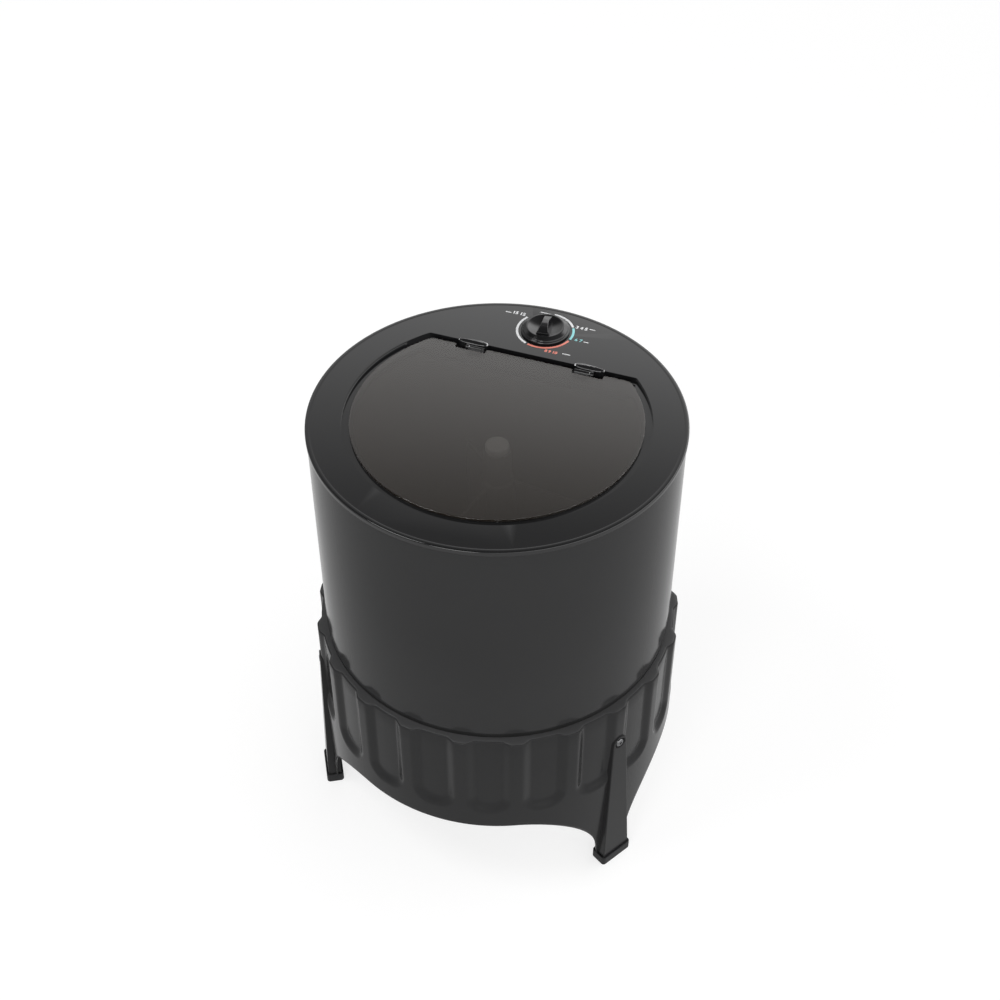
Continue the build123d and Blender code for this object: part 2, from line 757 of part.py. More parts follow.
# Deck: top plate, rim, well for the lid, trough for the hinges
hinge_bar_front = hinge_axis_y + knuckle_radius + hinge_clearance
hinge_bar_back = well_back - slip_clearance / 2
hinge_bar_depth = hinge_bar_back - hinge_bar_front
hinge_bar_middle = (hinge_bar_back + hinge_bar_front) / 2
trough_underside = trough_floor_top - moulding_wall
with BuildPart() as top_deck:
    deck_radius = drum_radius + deck_overhang
    disc(Plane.XY.offset(deck_underside), deck_radius, deck_plate)
    fillet(edges().group_by(Axis.Z)[-1], deck_rim_fillet)
    skirt_radius = drum_radius - drum_wall - slip_clearance
    ring(deck_radius, skirt_radius, drum_top, deck_underside - drum_top)
    ring(
        skirt_radius, skirt_radius - moulding_wall, deck_height - deck_skirt_depth,
        deck_skirt_depth - deck_plate,
    )
    rib_foot = tub_flange_top + gasket_thickness
    d_ring(
        gasket_inner_radius + gasket_width,
        gasket_inner_back + gasket_width,
        gasket_corner_radius + gasket_width,
        gasket_width,
        rib_foot,
        deck_underside - rib_foot,
    )
    for angle in flange_screw_angles:
        boss_point = polar_point(flange_screw_circle, angle, tub_flange_top)
        disc(Plane(boss_point), deck_boss_radius, deck_underside - tub_flange_top)
        disc(Plane(boss_point), flange_screw_radius, deck_underside - tub_flange_top, mode=Mode.SUBTRACT)
    d_plate(
        well_radius + moulding_wall,
        well_back + moulding_wall,
        well_corner_radius + moulding_wall,
        well_ledge_top - splash_lip_depth,
        deck_underside - well_ledge_top + splash_lip_depth,
    )
    d_plate(well_radius, well_back, well_corner_radius, well_ledge_top, deck_height, mode=Mode.SUBTRACT)
    d_plate(
        well_radius,
        well_back,
        well_corner_radius,
        well_ledge_top - splash_lip_depth,
        splash_lip_depth - well_ledge_thickness,
        mode=Mode.SUBTRACT,
    )
    d_plate(
        mouth_radius, mouth_back, mouth_corner_radius, well_ledge_top - splash_lip_depth,
        2 * splash_lip_depth, mode=Mode.SUBTRACT,
    )
    trough_depth = well_back - mouth_back
    trough_middle = mouth_back + trough_depth / 2
    trough_wall_width = 2 * (trough_half_width + moulding_wall)
    block(
        Plane((0, trough_middle, trough_underside)), trough_wall_width, trough_depth,
        well_ledge_top - trough_underside,
    )
    block(
        Plane((0, trough_middle + moulding_wall / 2, trough_floor_top)), 2 * trough_half_width,
        trough_depth - moulding_wall, trough_drop, mode=Mode.SUBTRACT,
    )
    block(
        Plane((0, mouth_back, deck_height - trough_front_wall_drop)), 2 * trough_half_width,
        3 * moulding_wall, trough_front_wall_drop, mode=Mode.SUBTRACT,
    )
    drain_hole_plane = Plane((drain_hole_x, drain_hole_y, well_ledge_top))
    disc(drain_hole_plane, drain_hole_radius, -trough_drop - moulding_wall, mode=Mode.SUBTRACT)
    disc(Plane((0, knob_y, deck_underside)), deck_spindle_hole_radius, deck_plate, mode=Mode.SUBTRACT)
    for side in (-1, 1):
        timer_hole = (side * timer_screw_spacing / 2, knob_y, deck_height)
        disc(Plane(timer_hole), timer_screw_radius, -deck_plate, mode=Mode.SUBTRACT)
        disc(
            Plane(timer_hole), timer_screw_head_radius + screw_hole_clearance,
            -timer_screw_head_height, mode=Mode.SUBTRACT,
        )
        for end in (-1, 1):
            screw_x = side * hinge_centre_x + end * hinge_screw_spacing / 2
            hinge_hole = Plane((screw_x, hinge_bar_middle, trough_underside))
            disc(hinge_hole, hinge_screw_radius, moulding_wall, mode=Mode.SUBTRACT)
    for angle in bumper_angles:
        bumper_hole = polar_point((mouth_radius + lid_radius) / 2, angle, well_ledge_top)
        disc(Plane(bumper_hole), bumper_radius / 2, -well_ledge_thickness, mode=Mode.SUBTRACT)
top_deck.part.label = "top_deck"
export_step(top_deck.part, "parts/top_deck.step")

# Screws from under the tub's flange into the deck's bosses
with BuildPart() as deck_screws:
    for angle in flange_screw_angles:
        flange_seat = Plane(
            origin=polar_point(flange_screw_circle, angle, tub_flange_top - tub_flange_thickness),
            z_dir=(0, 0, -1),
        )
        flange_length = deck_underside - tub_flange_top + tub_flange_thickness
        screw(flange_seat, flange_head_radius, flange_head_height, flange_screw_radius, flange_length)
deck_screws.part.label = "deck_screws"
export_step(deck_screws.part, "parts/deck_screws.step")

# Rubber bumpers that the closed lid rests on
with BuildPart() as lid_bumpers:
    for angle in bumper_angles:
        bumper_seat = Plane(polar_point((mouth_radius + lid_radius) / 2, angle, well_ledge_top))
        disc(bumper_seat, bumper_radius, bumper_height)
        disc(bumper_seat, bumper_radius / 2, -well_ledge_thickness)
lid_bumpers.part.label = "lid_bumpers"
export_step(lid_bumpers.part, "parts/lid_bumpers.step")

# Lid: flat smoked sheet with a notch for each hinge
notch_width = hinge_length + 2 * notch_margin
notch_front = lid_back - notch_depth
with BuildPart() as lid_panel:
    d_plate(lid_radius, lid_back, lid_corner_radius, lid_underside, lid_thickness)
    for side in (-1, 1):
        notch_plane = Plane((side * hinge_centre_x, lid_back, lid_underside))
        block(notch_plane, notch_width, 2 * notch_depth, lid_thickness, mode=Mode.SUBTRACT)
    lid_top_outline = faces().sort_by(Axis.Z)[-1].outer_wire().edges()
    chamfer(lid_top_outline.filter_by(GeomType.CIRCLE), lid_edge_chamfer)
lid_panel.part.label = "lid_panel"
export_step(lid_panel.part, "parts/lid_panel.step")

# Hinge leaves on the lid: a knuckle on the pin and a pad under the sheet
knuckle_inner_x = hinge_centre_x - hinge_length / 2 + notch_margin
knuckle_middle_x = knuckle_inner_x + knuckle_length / 2
leaf_depth = hinge_axis_y - notch_front
with BuildPart() as hinge_leaves:
    for side in (-1, 1):
        knuckle_plane = Plane(
            origin=(side * knuckle_inner_x, hinge_axis_y, hinge_axis_height), z_dir=(side, 0, 0)
        )
        disc(knuckle_plane, knuckle_radius, knuckle_length)
        leaf_plane = Plane((side * knuckle_middle_x, notch_front + leaf_depth / 2, lid_underside))
        block(leaf_plane, knuckle_length, leaf_depth, lid_thickness)
        pad_middle_y = notch_front - leaf_pad_length / 2 + knuckle_radius / 2
        pad_plane = Plane((side * knuckle_middle_x, pad_middle_y, lid_underside))
        block(pad_plane, knuckle_length, leaf_pad_length + knuckle_radius, -leaf_pad_thickness)
        pin_bore = hinge_pin_radius + running_clearance
        disc(knuckle_plane, pin_bore, knuckle_length, mode=Mode.SUBTRACT)
hinge_leaves.part.label = "hinge_leaves"
export_step(hinge_leaves.part, "parts/hinge_leaves.step")

# Hinge bases in the trough: a rounded bar with an ear that holds the pin
ear_inner_x = knuckle_inner_x + knuckle_length + hinge_clearance
hinge_bar_height = deck_height + hinge_bar_rise - trough_floor_top
with BuildPart() as hinge_bases:
    for side in (-1, 1):
        bar_plane = Plane((side * hinge_centre_x, hinge_bar_middle, trough_floor_top))
        with BuildSketch(bar_plane):
            RectangleRounded(hinge_length, hinge_bar_depth, hinge_bar_depth / 2 - hinge_bar_end_flat)
        extrude(amount=hinge_bar_height)
        ear_plane = Plane(
            origin=(side * ear_inner_x, hinge_axis_y, hinge_axis_height), z_dir=(side, 0, 0)
        )
        disc(ear_plane, knuckle_radius, ear_thickness)
        ear_web_depth = hinge_bar_middle - hinge_axis_y
        ear_web_plane = Plane(
            (
                side * (ear_inner_x + ear_thickness / 2),
                hinge_axis_y + ear_web_depth / 2,
                hinge_axis_height - knuckle_radius,
            )
        )
        block(ear_web_plane, ear_thickness, ear_web_depth, 2 * knuckle_radius)
        disc(ear_plane, hinge_pin_radius, ear_thickness, mode=Mode.SUBTRACT)
        for end in (-1, 1):
            screw_x = side * hinge_centre_x + end * hinge_screw_spacing / 2
            base_hole = Plane((screw_x, hinge_bar_middle, trough_floor_top))
            base_hole_depth = hinge_screw_grip + hinge_screw_spare
            disc(base_hole, hinge_screw_radius, base_hole_depth, mode=Mode.SUBTRACT)
hinge_bases.part.label = "hinge_bases"
export_step(hinge_bases.part, "parts/hinge_bases.step")

# Hinge pins, tight in the ears
with BuildPart() as hinge_pins:
    for side in (-1, 1):
        pin_plane = Plane(
            origin=(side * (knuckle_inner_x + hinge_pin_inset), hinge_axis_y, hinge_axis_height),
            z_dir=(side, 0, 0),
        )
        pin_length = knuckle_length - hinge_pin_inset + hinge_clearance + ear_thickness
        disc(pin_plane, hinge_pin_radius, pin_length)
hinge_pins.part.label = "hinge_pins"
export_step(hinge_pins.part, "parts/hinge_pins.step")

# Screws from under the trough into the hinge bases
with BuildPart() as hinge_screws:
    for side in (-1, 1):
        for end in (-1, 1):
            screw_x = side * hinge_centre_x + end * hinge_screw_spacing / 2
            hinge_seat = Plane(origin=(screw_x, hinge_bar_middle, trough_underside), z_dir=(0, 0, -1))
            hinge_screw_length = moulding_wall + hinge_screw_grip
            screw(hinge_seat, hinge_head_radius, hinge_head_height, hinge_screw_radius, hinge_screw_length)
hinge_screws.part.label = "hinge_screws"
export_step(hinge_screws.part, "parts/hinge_screws.step")

# Bearing housing: flange under the tub's floor, neck into the tub, sleeve below
bearing_bore = bush_radius
with BuildPart() as bearing_housing:
    flange_foot = base_height - housing_flange_thickness
    disc(Plane.XY.offset(flange_foot), housing_flange_radius, housing_flange_thickness)
    disc(Plane.XY.offset(base_height), neck_radius, neck_top - base_height)
    disc(Plane.XY.offset(sleeve_foot), sleeve_radius, flange_foot - sleeve_foot)
    disc(Plane.XY.offset(sleeve_foot), bearing_bore, neck_top - sleeve_foot, mode=Mode.SUBTRACT)
    for angle in housing_screw_angles:
        flange_point = polar_point(housing_screw_circle, angle, flange_foot)
        disc(Plane(flange_point), housing_screw_radius, housing_flange_thickness, mode=Mode.SUBTRACT)
bearing_housing.part.label = "bearing_housing"
export_step(bearing_housing.part, "parts/bearing_housing.step")

# Sintered bushes at both ends of the housing
bush_bore = shaft_radius + running_clearance
upper_bush_foot = neck_top - shaft_seal_height - bush_length
with BuildPart() as shaft_bushes:
    tube(Plane.XY.offset(sleeve_foot), bush_radius, bush_bore, bush_length)
    tube(Plane.XY.offset(upper_bush_foot), bush_radius, bush_bore, bush_length)
shaft_bushes.part.label = "shaft_bushes"
export_step(shaft_bushes.part, "parts/shaft_bushes.step")

# Lip seal over the upper bush
with BuildPart() as shaft_seal:
    tube(Plane.XY.offset(neck_top - shaft_seal_height), bush_radius, bush_bore, shaft_seal_height)
shaft_seal.part.label = "shaft_seal"
export_step(shaft_seal.part, "parts/shaft_seal.step")

# Screws from the housing's flange up into the tub's hub
with BuildPart() as housing_screws:
    for angle in housing_screw_angles:
        housing_seat = Plane(
            origin=polar_point(housing_screw_circle, angle, flange_foot), z_dir=(0, 0, -1)
        )
        housing_length = housing_flange_thickness + hub_hole_depth - hub_hole_spare
        screw(
            housing_seat, housing_head_radius, housing_head_height, housing_screw_radius, housing_length
        )
housing_screws.part.label = "housing_screws"
export_step(housing_screws.part, "parts/housing_screws.step")

# Agitator: hollow bell and column with three tall fins and a splined boss inside
with BuildPart() as agitator:
    bell_top = agitator_foot + agitator_bell_height
    with BuildSketch(Plane.XZ):
        with BuildLine():
            Polyline(
                (0, agitator_foot),
                (agitator_radius, agitator_foot),
                (agitator_radius, agitator_foot + agitator_wall),
                (agitator_barrel_radius, bell_top + 2 * agitator_wall),
                (column_foot_radius, column_step_height),
                (column_radius, column_step_height + agitator_wall),
                (column_top_radius, column_top),
                (0, column_top),
                close=True,
            )
        make_face()
    revolve(axis=Axis.Z)
    for i in range(fin_count):
        fin_angle = fin_start_angle + 360 / fin_count * i
        fin_turn = radians(fin_angle)
        fin_plane = Plane(
            origin=(0, 0, 0),
            x_dir=(sin(fin_turn), -cos(fin_turn), 0),
            z_dir=(-cos(fin_turn), -sin(fin_turn), 0),
        )
        with BuildSketch(fin_plane.offset(-fin_thickness / 2)):
            with BuildLine():
                Polyline(
                    (column_radius / 2, agitator_foot + agitator_wall),
                    (fin_reach, agitator_foot + agitator_wall),
                    (fin_reach, fin_outer_height),
                    (column_foot_radius, fin_inner_height),
                    (column_radius / 2, fin_inner_height),
                    close=True,
                )
            make_face()
        extrude(amount=fin_thickness)
    with BuildSketch(Plane.XZ):
        with BuildLine():
            Polyline(
                (0, agitator_foot),
                (agitator_radius - agitator_wall, agitator_foot),
                (agitator_barrel_radius - agitator_wall, bell_top + agitator_wall),
                (column_foot_radius - agitator_wall, column_step_height),
                (column_radius - 2 * agitator_wall, column_step_height + 2 * agitator_wall),
                (column_radius - 2 * agitator_wall, column_top),
                (0, column_top),
                close=True,
            )
        make_face()
    revolve(axis=Axis.Z, mode=Mode.SUBTRACT)
    boss_height = shaft_top - agitator_boss_foot
    disc(Plane.XY.offset(agitator_boss_foot), agitator_boss_radius, boss_height)
    web_radius = agitator_barrel_radius - 2 * agitator_wall
    disc(Plane.XY.offset(shaft_top - web_thickness), web_radius, web_thickness)
    disc(Plane.XY.offset(agitator_boss_foot), shaft_radius, boss_height, mode=Mode.SUBTRACT)
agitator.part.label = "agitator"
export_step(agitator.part, "parts/agitator.step")

# Cap that closes the agitator's column
with BuildPart() as agitator_cap:
    plug_radius = column_radius - 2 * agitator_wall
    disc(Plane.XY.offset(column_top), cap_radius, cap_rise)
    fillet(edges().group_by(Axis.Z)[-1], cap_edge_radius)
    disc(Plane.XY.offset(column_top), plug_radius, -cap_plug_depth)
agitator_cap.part.label = "agitator_cap"
export_step(agitator_cap.part, "parts/agitator_cap.step")

# Shaft from the agitator down to the large pulley
with BuildPart() as agitator_shaft:
    disc(Plane.XY.offset(shaft_foot), shaft_radius, shaft_top - shaft_foot)
    disc(
        Plane.XY.offset(shaft_top), agitator_screw_radius, -agitator_hole_depth, mode=Mode.SUBTRACT
    )
agitator_shaft.part.label = "agitator_shaft"
export_step(agitator_shaft.part, "parts/agitator_shaft.step")

# Screw and washer that hold the agitator on its shaft
with BuildPart() as agitator_screw:
    washer_top = shaft_top + agitator_washer_thickness
    disc(Plane.XY.offset(shaft_top), agitator_washer_radius, agitator_washer_thickness)
    disc(Plane.XY.offset(washer_top), agitator_head_radius, agitator_head_height)
    disc(Plane.XY.offset(shaft_top), agitator_screw_radius, -agitator_screw_reach)
agitator_screw.part.label = "agitator_screw"
export_step(agitator_screw.part, "parts/agitator_screw.step")

# Thrust collar under the lower bush
with BuildPart() as thrust_collar:
    collar_foot = sleeve_foot - slip_clearance - thrust_collar_height
    tube(Plane.XY.offset(collar_foot), thrust_collar_radius, shaft_radius, thrust_collar_height)
thrust_collar.part.label = "thrust_collar"
export_step(thrust_collar.part, "parts/thrust_collar.step")

# Large grooved pulley with lightening holes
pulley_middle = pulley_foot + pulley_height / 2
groove_height = belt_height + 2 * groove_clearance
groove_depth = belt_sink + groove_clearance
with BuildPart() as large_pulley:
    disc(Plane.XY.offset(pulley_foot), large_pulley_radius, pulley_height)
    ring(
        large_pulley_radius + cut_margin,
        large_pulley_radius - groove_depth,
        pulley_middle - groove_height / 2,
        groove_height,
        mode=Mode.SUBTRACT,
    )
    web_recess = (pulley_height - large_pulley_web) / 2
    inner_rim = large_pulley_radius - large_pulley_rim
    ring(inner_rim, large_pulley_hub_radius, pulley_foot, web_recess, mode=Mode.SUBTRACT)
    recess_foot = pulley_foot + pulley_height - web_recess
    ring(inner_rim, large_pulley_hub_radius, recess_foot, web_recess, mode=Mode.SUBTRACT)
    with BuildSketch(Plane.XY.offset(pulley_foot)):
        with PolarLocations(lightening_hole_circle, lightening_hole_count):
            Circle(lightening_hole_radius)
    extrude(amount=pulley_height, mode=Mode.SUBTRACT)
    disc(Plane.XY.offset(pulley_foot), shaft_radius, pulley_height, mode=Mode.SUBTRACT)
large_pulley.part.label = "large_pulley"
export_step(large_pulley.part, "parts/large_pulley.step")

# Nut under the large pulley
with BuildPart() as pulley_nut:
    with BuildSketch(Plane.XY.offset(pulley_foot - pulley_nut_height)):
        RegularPolygon(pulley_nut_radius, 6)
        Circle(shaft_radius, mode=Mode.SUBTRACT)
    extrude(amount=pulley_nut_height)
pulley_nut.part.label = "pulley_nut"
export_step(pulley_nut.part, "parts/pulley_nut.step")

# Small pulley on the motor
motor_axis = Plane((0, motor_offset, 0))
with BuildPart() as small_pulley:
    disc(motor_axis.offset(pulley_foot), small_pulley_radius, pulley_height)
    with BuildSketch(motor_axis.offset(pulley_middle - groove_height / 2)):
        Circle(small_pulley_radius + cut_margin)
        Circle(small_pulley_radius - groove_depth, mode=Mode.SUBTRACT)
    extrude(amount=groove_height, mode=Mode.SUBTRACT)
    disc(motor_axis.offset(pulley_foot), motor_shaft_radius, pulley_height, mode=Mode.SUBTRACT)
small_pulley.part.label = "small_pulley"
export_step(small_pulley.part, "parts/small_pulley.step")

# Drive belt round both pulleys
large_belt_radius = large_pulley_radius - belt_sink
small_belt_radius = small_pulley_radius - belt_sink


def belt_face(large_radius, small_radius, mode=Mode.ADD):
    """Outline of a loop pulled tight round the two pulleys."""
    lean = (large_radius - small_radius) / motor_offset
    spread = sqrt(1 - lean**2)
    large_x, large_y = large_radius * spread, large_radius * lean
    small_x, small_y = small_radius * spread, motor_offset + small_radius * lean
    with BuildLine() as outline:
        Line((large_x, large_y), (small_x, small_y))
        ThreePointArc((small_x, small_y), (0, motor_offset + small_radius), (-small_x, small_y))
        Line((-small_x, small_y), (-large_x, large_y))
        ThreePointArc((-large_x, large_y), (0, -large_radius), (large_x, large_y))
    make_face(outline.edges(), mode=mode)


with BuildPart() as drive_belt:
    with BuildSketch(Plane.XY.offset(pulley_middle - belt_height / 2)):
        belt_face(large_belt_radius + belt_thickness, small_belt_radius + belt_thickness)
        belt_face(large_belt_radius, small_belt_radius, mode=Mode.SUBTRACT)
    extrude(amount=belt_height)
drive_belt.part.label = "drive_belt"
export_step(drive_belt.part, "parts/drive_belt.step")

# Motor plate across the base, under the seat pan
lug_points = [
    (side * motor_lug_spacing_x / 2, motor_offset + end * motor_lug_spacing_y / 2)
    for side in (-1, 1)
    for end in (-1, 1)
]
with BuildPart() as motor_plate:
    with BuildSketch(Plane.XY.offset(plate_underside)):
        with Locations((0, motor_offset)):
            Rectangle(2 * motor_plate_half_length, motor_plate_width)
        Circle(motor_plate_radius, mode=Mode.INTERSECT)
        with Locations(*lug_points):
            Circle(motor_bolt_radius, mode=Mode.SUBTRACT)
        with Locations(*[(side * x, y) for x, y in plate_screw_points for side in (-1, 1)]):
            Circle(plate_screw_radius, mode=Mode.SUBTRACT)
    extrude(amount=motor_plate_thickness)
motor_plate.part.label = "motor_plate"
export_step(motor_plate.part, "parts/motor_plate.step")

# Screws that hold the motor plate to the seat pan's bosses
with BuildPart() as plate_screws:
    for x, y in plate_screw_points:
        for side in (-1, 1):
            plate_seat = Plane(origin=(side * x, y, plate_underside), z_dir=(0, 0, -1))
            plate_length = motor_plate_thickness + plate_boss_height + ledge_thickness
            screw(plate_seat, plate_head_radius, plate_head_height, plate_screw_radius, plate_length)
plate_screws.part.label = "plate_screws"
export_step(plate_screws.part, "parts/plate_screws.step")

# Motor housing with four lugs, open inside for the stator
motor_cavity_foot = motor_foot + motor_end_thickness
motor_cavity_height = motor_height - 2 * motor_end_thickness
with BuildPart() as motor_housing:
    disc(motor_axis.offset(motor_foot), motor_radius, motor_height)
    fillet(edges().group_by(Axis.Z)[0], motor_edge_radius)
    lug_width = motor_lug_spacing_x + 2 * motor_lug_margin
    lug_depth = motor_lug_spacing_y + 2 * motor_lug_margin
    lug_plane = motor_axis.offset(motor_lug_top)
    block(lug_plane, lug_width, lug_depth, -motor_lug_thickness)
    disc(
        motor_axis.offset(motor_cavity_foot), motor_radius - motor_shell, motor_cavity_height,
        mode=Mode.SUBTRACT,
    )
    disc(motor_axis.offset(motor_foot), motor_bearing_radius, motor_end_thickness, mode=Mode.SUBTRACT)
    disc(
        motor_axis.offset(motor_top - motor_end_thickness), motor_bearing_radius,
        motor_end_thickness - motor_end_web, mode=Mode.SUBTRACT,
    )
    for x, y in lug_points:
        disc(Plane((x, y, motor_lug_top)), motor_bolt_radius, -motor_lug_thickness, mode=Mode.SUBTRACT)
motor_housing.part.label = "motor_housing"
export_step(motor_housing.part, "parts/motor_housing.step")

# Wound stator pressed into the housing
rotor_foot = motor_cavity_foot + (motor_cavity_height - rotor_height) / 2
with BuildPart() as motor_stator:
    stator_plane = motor_axis.offset(rotor_foot)
    tube(stator_plane, motor_radius - motor_shell, rotor_radius + stator_gap, rotor_height)
motor_stator.part.label = "motor_stator"
export_step(motor_stator.part, "parts/motor_stator.step")

# Rotor and its shaft
motor_shaft_top = motor_top - motor_end_web - motor_shaft_gap
with BuildPart() as motor_rotor:
    disc(motor_axis.offset(pulley_foot), motor_shaft_radius, motor_shaft_top - pulley_foot)
    disc(motor_axis.offset(rotor_foot), rotor_radius, rotor_height)
motor_rotor.part.label = "motor_rotor"
export_step(motor_rotor.part, "parts/motor_rotor.step")

# Plain bearings in the motor's two ends
with BuildPart() as motor_bearings:
    motor_bore = motor_shaft_radius + running_clearance
    tube(motor_axis.offset(motor_foot), motor_bearing_radius, motor_bore, motor_end_thickness)
    tube(
        motor_axis.offset(motor_top - motor_end_thickness), motor_bearing_radius, motor_bore,
        motor_end_thickness - motor_end_web,
    )
motor_bearings.part.label = "motor_bearings"
export_step(motor_bearings.part, "parts/motor_bearings.step")

# Rubber bushes between the motor's lugs and the plate
with BuildPart() as motor_bushes:
    for x, y in lug_points:
        tube(Plane((x, y, motor_lug_top)), motor_bush_radius, motor_bolt_radius, motor_bush_height)
motor_bushes.part.label = "motor_bushes"
export_step(motor_bushes.part, "parts/motor_bushes.step")

# Motor bolts
with BuildPart() as motor_bolts:
    for x, y in lug_points:
        bolt_seat = Plane((x, y, motor_lug_top - motor_lug_thickness))
        with BuildSketch(bolt_seat):
            RegularPolygon(motor_nut_radius, 6)
        extrude(amount=-motor_bolt_head_height)
        disc(bolt_seat, motor_bolt_radius, plate_top + motor_nut_height - bolt_seat.origin.Z)
motor_bolts.part.label = "motor_bolts"
export_step(motor_bolts.part, "parts/motor_bolts.step")

# Nuts on the motor bolts
with BuildPart() as motor_nuts:
    for x, y in lug_points:
        with BuildSketch(Plane((x, y, plate_top))):
            RegularPolygon(motor_nut_radius, 6)
            Circle(motor_bolt_radius, mode=Mode.SUBTRACT)
        extrude(amount=motor_nut_height)
motor_nuts.part.label = "motor_nuts"
export_step(motor_nuts.part, "parts/motor_nuts.step")

# Run capacitor under the plate
capacitor_axis = Plane((capacitor_x, motor_offset, 0))
capacitor_top = plate_underside - slip_clearance
with BuildPart() as run_capacitor:
    disc(capacitor_axis.offset(capacitor_top - capacitor_height), capacitor_radius, capacitor_height)
    fillet(edges().group_by(Axis.Z)[0], capacitor_edge_radius)
run_capacitor.part.label = "run_capacitor"
export_step(run_capacitor.part, "parts/run_capacitor.step")

# Clip that holds the capacitor to the plate
with BuildPart() as capacitor_clip:
    clip_foot = capacitor_top - capacitor_height / 2 - capacitor_clip_height / 2
    tube(
        capacitor_axis.offset(clip_foot), capacitor_radius + capacitor_clip_wall, capacitor_radius,
        capacitor_clip_height,
    )
    strap_x = capacitor_x + capacitor_radius + capacitor_clip_wall / 2
    strap_plane = Plane((strap_x, motor_offset, clip_foot))
    block(strap_plane, capacitor_clip_wall, capacitor_clip_height, plate_underside - clip_foot)
capacitor_clip.part.label = "capacitor_clip"
export_step(capacitor_clip.part, "parts/capacitor_clip.step")

# Strainer over the tub's drain
with BuildPart() as drain_strainer:
    with BuildSketch(Plane((drain_point.X, drain_point.Y, tub_floor_top))):
        Circle(strainer_radius)
        Circle(strainer_hole_radius, mode=Mode.SUBTRACT)
        for count, radius in zip(strainer_ring_counts, strainer_ring_radii):
            with PolarLocations(radius, count):
                Circle(strainer_hole_radius, mode=Mode.SUBTRACT)
    extrude(amount=strainer_height)
drain_strainer.part.label = "drain_strainer"
export_step(drain_strainer.part, "parts/drain_strainer.step")

# Elbow from the tub's floor towards the wall
elbow_end_radius = drain_circle + drain_bend_radius + drain_run
with BuildPart() as drain_elbow:
    drain_down = Plane(drain_point + Vector(0, 0, tub_floor_top), z_dir=(0, 0, -1))
    bend_start = drain_point + Vector(0, 0, drain_height + drain_bend_radius)
    bend_middle = polar_point(
        drain_circle + drain_bend_radius * (1 - cos(radians(45))),
        drain_angle,
        drain_height + drain_bend_radius * (1 - sin(radians(45))),
    )
    bend_end = polar_point(drain_circle + drain_bend_radius, drain_angle, drain_height)
    run_end = polar_point(elbow_end_radius, drain_angle, drain_height)
    with BuildLine() as elbow_path:
        Line(drain_down.origin, bend_start)
        ThreePointArc(bend_start, bend_middle, bend_end)
        Line(bend_end, run_end)
    with BuildSketch(drain_down):
        Circle(drain_pipe_radius)
    sweep()
    flange_plane = Plane(drain_point + Vector(0, 0, base_height - drain_flange_thickness))
    disc(flange_plane, drain_flange_radius, drain_flange_thickness)
    with BuildLine() as bore_path:
        Line(drain_down.origin, bend_start)
        ThreePointArc(bend_start, bend_middle, bend_end)
        Line(bend_end, run_end)
    with BuildSketch(drain_down):
        Circle(drain_pipe_bore)
    sweep(mode=Mode.SUBTRACT)
drain_elbow.part.label = "drain_elbow"
export_step(drain_elbow.part, "parts/drain_elbow.step")

# Spigot through the rear wall, with its nut outside
spigot_flange_face = port_pad_radius
spigot_inner_end = spigot_flange_face - spigot_flange_thickness - spigot_inner_reach
spigot_nut_end = flute_floor_radius + spigot_nut_height
spigot_end = spigot_nut_end + spigot_shoulder + spigot_tail_length
with BuildPart() as drain_spigot:
    disc(
        outward_plane(spigot_inner_end, drain_angle, drain_height), drain_pipe_radius,
        spigot_nut_end + spigot_shoulder - spigot_inner_end,
    )
    disc(
        outward_plane(spigot_flange_face, drain_angle, drain_height), spigot_flange_radius,
        -spigot_flange_thickness,
    )
    tail_plane = outward_plane(spigot_end, drain_angle, drain_height)
    disc(tail_plane, spigot_tail_radius, -spigot_tail_length)
    disc(tail_plane, spigot_bore_radius, spigot_inner_end - spigot_end, mode=Mode.SUBTRACT)
drain_spigot.part.label = "drain_spigot"
export_step(drain_spigot.part, "parts/drain_spigot.step")

with BuildPart() as spigot_nut:
    with BuildSketch(outward_plane(flute_floor_radius, drain_angle, drain_height)):
        RegularPolygon(spigot_nut_radius, spigot_nut_sides)
        Circle(drain_pipe_radius, mode=Mode.SUBTRACT)
    extrude(amount=spigot_nut_height)
spigot_nut.part.label = "spigot_nut"
export_step(spigot_nut.part, "parts/spigot_nut.step")

# Short drain hose inside the base, with a clamp at each end
hose_start = elbow_end_radius - hose_overlap
hose_end = spigot_inner_end + hose_overlap
with BuildPart() as drain_hose:
    tube(
        outward_plane(hose_start, drain_angle, drain_height), drain_pipe_radius + hose_wall,
        drain_pipe_radius, hose_end - hose_start,
    )
drain_hose.part.label = "drain_hose"
export_step(drain_hose.part, "parts/drain_hose.step")

with BuildPart() as hose_clamps:
    clamp_inner_radius = drain_pipe_radius + hose_wall
    for clamp_start in (hose_start + clamp_inset, hose_end - clamp_inset - clamp_width):
        tube(
            outward_plane(clamp_start, drain_angle, drain_height),
            clamp_inner_radius + clamp_thickness, clamp_inner_radius, clamp_width,
        )
hose_clamps.part.label = "hose_clamps"
export_step(hose_clamps.part, "parts/hose_clamps.step")

# Cable gland through the rear wall, with its nut inside
gland_tail_end = port_pad_radius - gland_tail
gland_mouth = flute_floor_radius + gland_head_height
with BuildPart() as cable_gland:
    disc(
        outward_plane(gland_tail_end, gland_angle, gland_height), gland_thread_radius,
        gland_mouth - gland_tail_end,
    )
    disc(outward_plane(flute_floor_radius, gland_angle, gland_height), gland_head_radius, gland_head_height)
    disc(
        outward_plane(gland_tail_end, gland_angle, gland_height), gland_bore_radius,
        gland_mouth - gland_tail_end, mode=Mode.SUBTRACT,
    )
cable_gland.part.label = "cable_gland"
export_step(cable_gland.part, "parts/cable_gland.step")

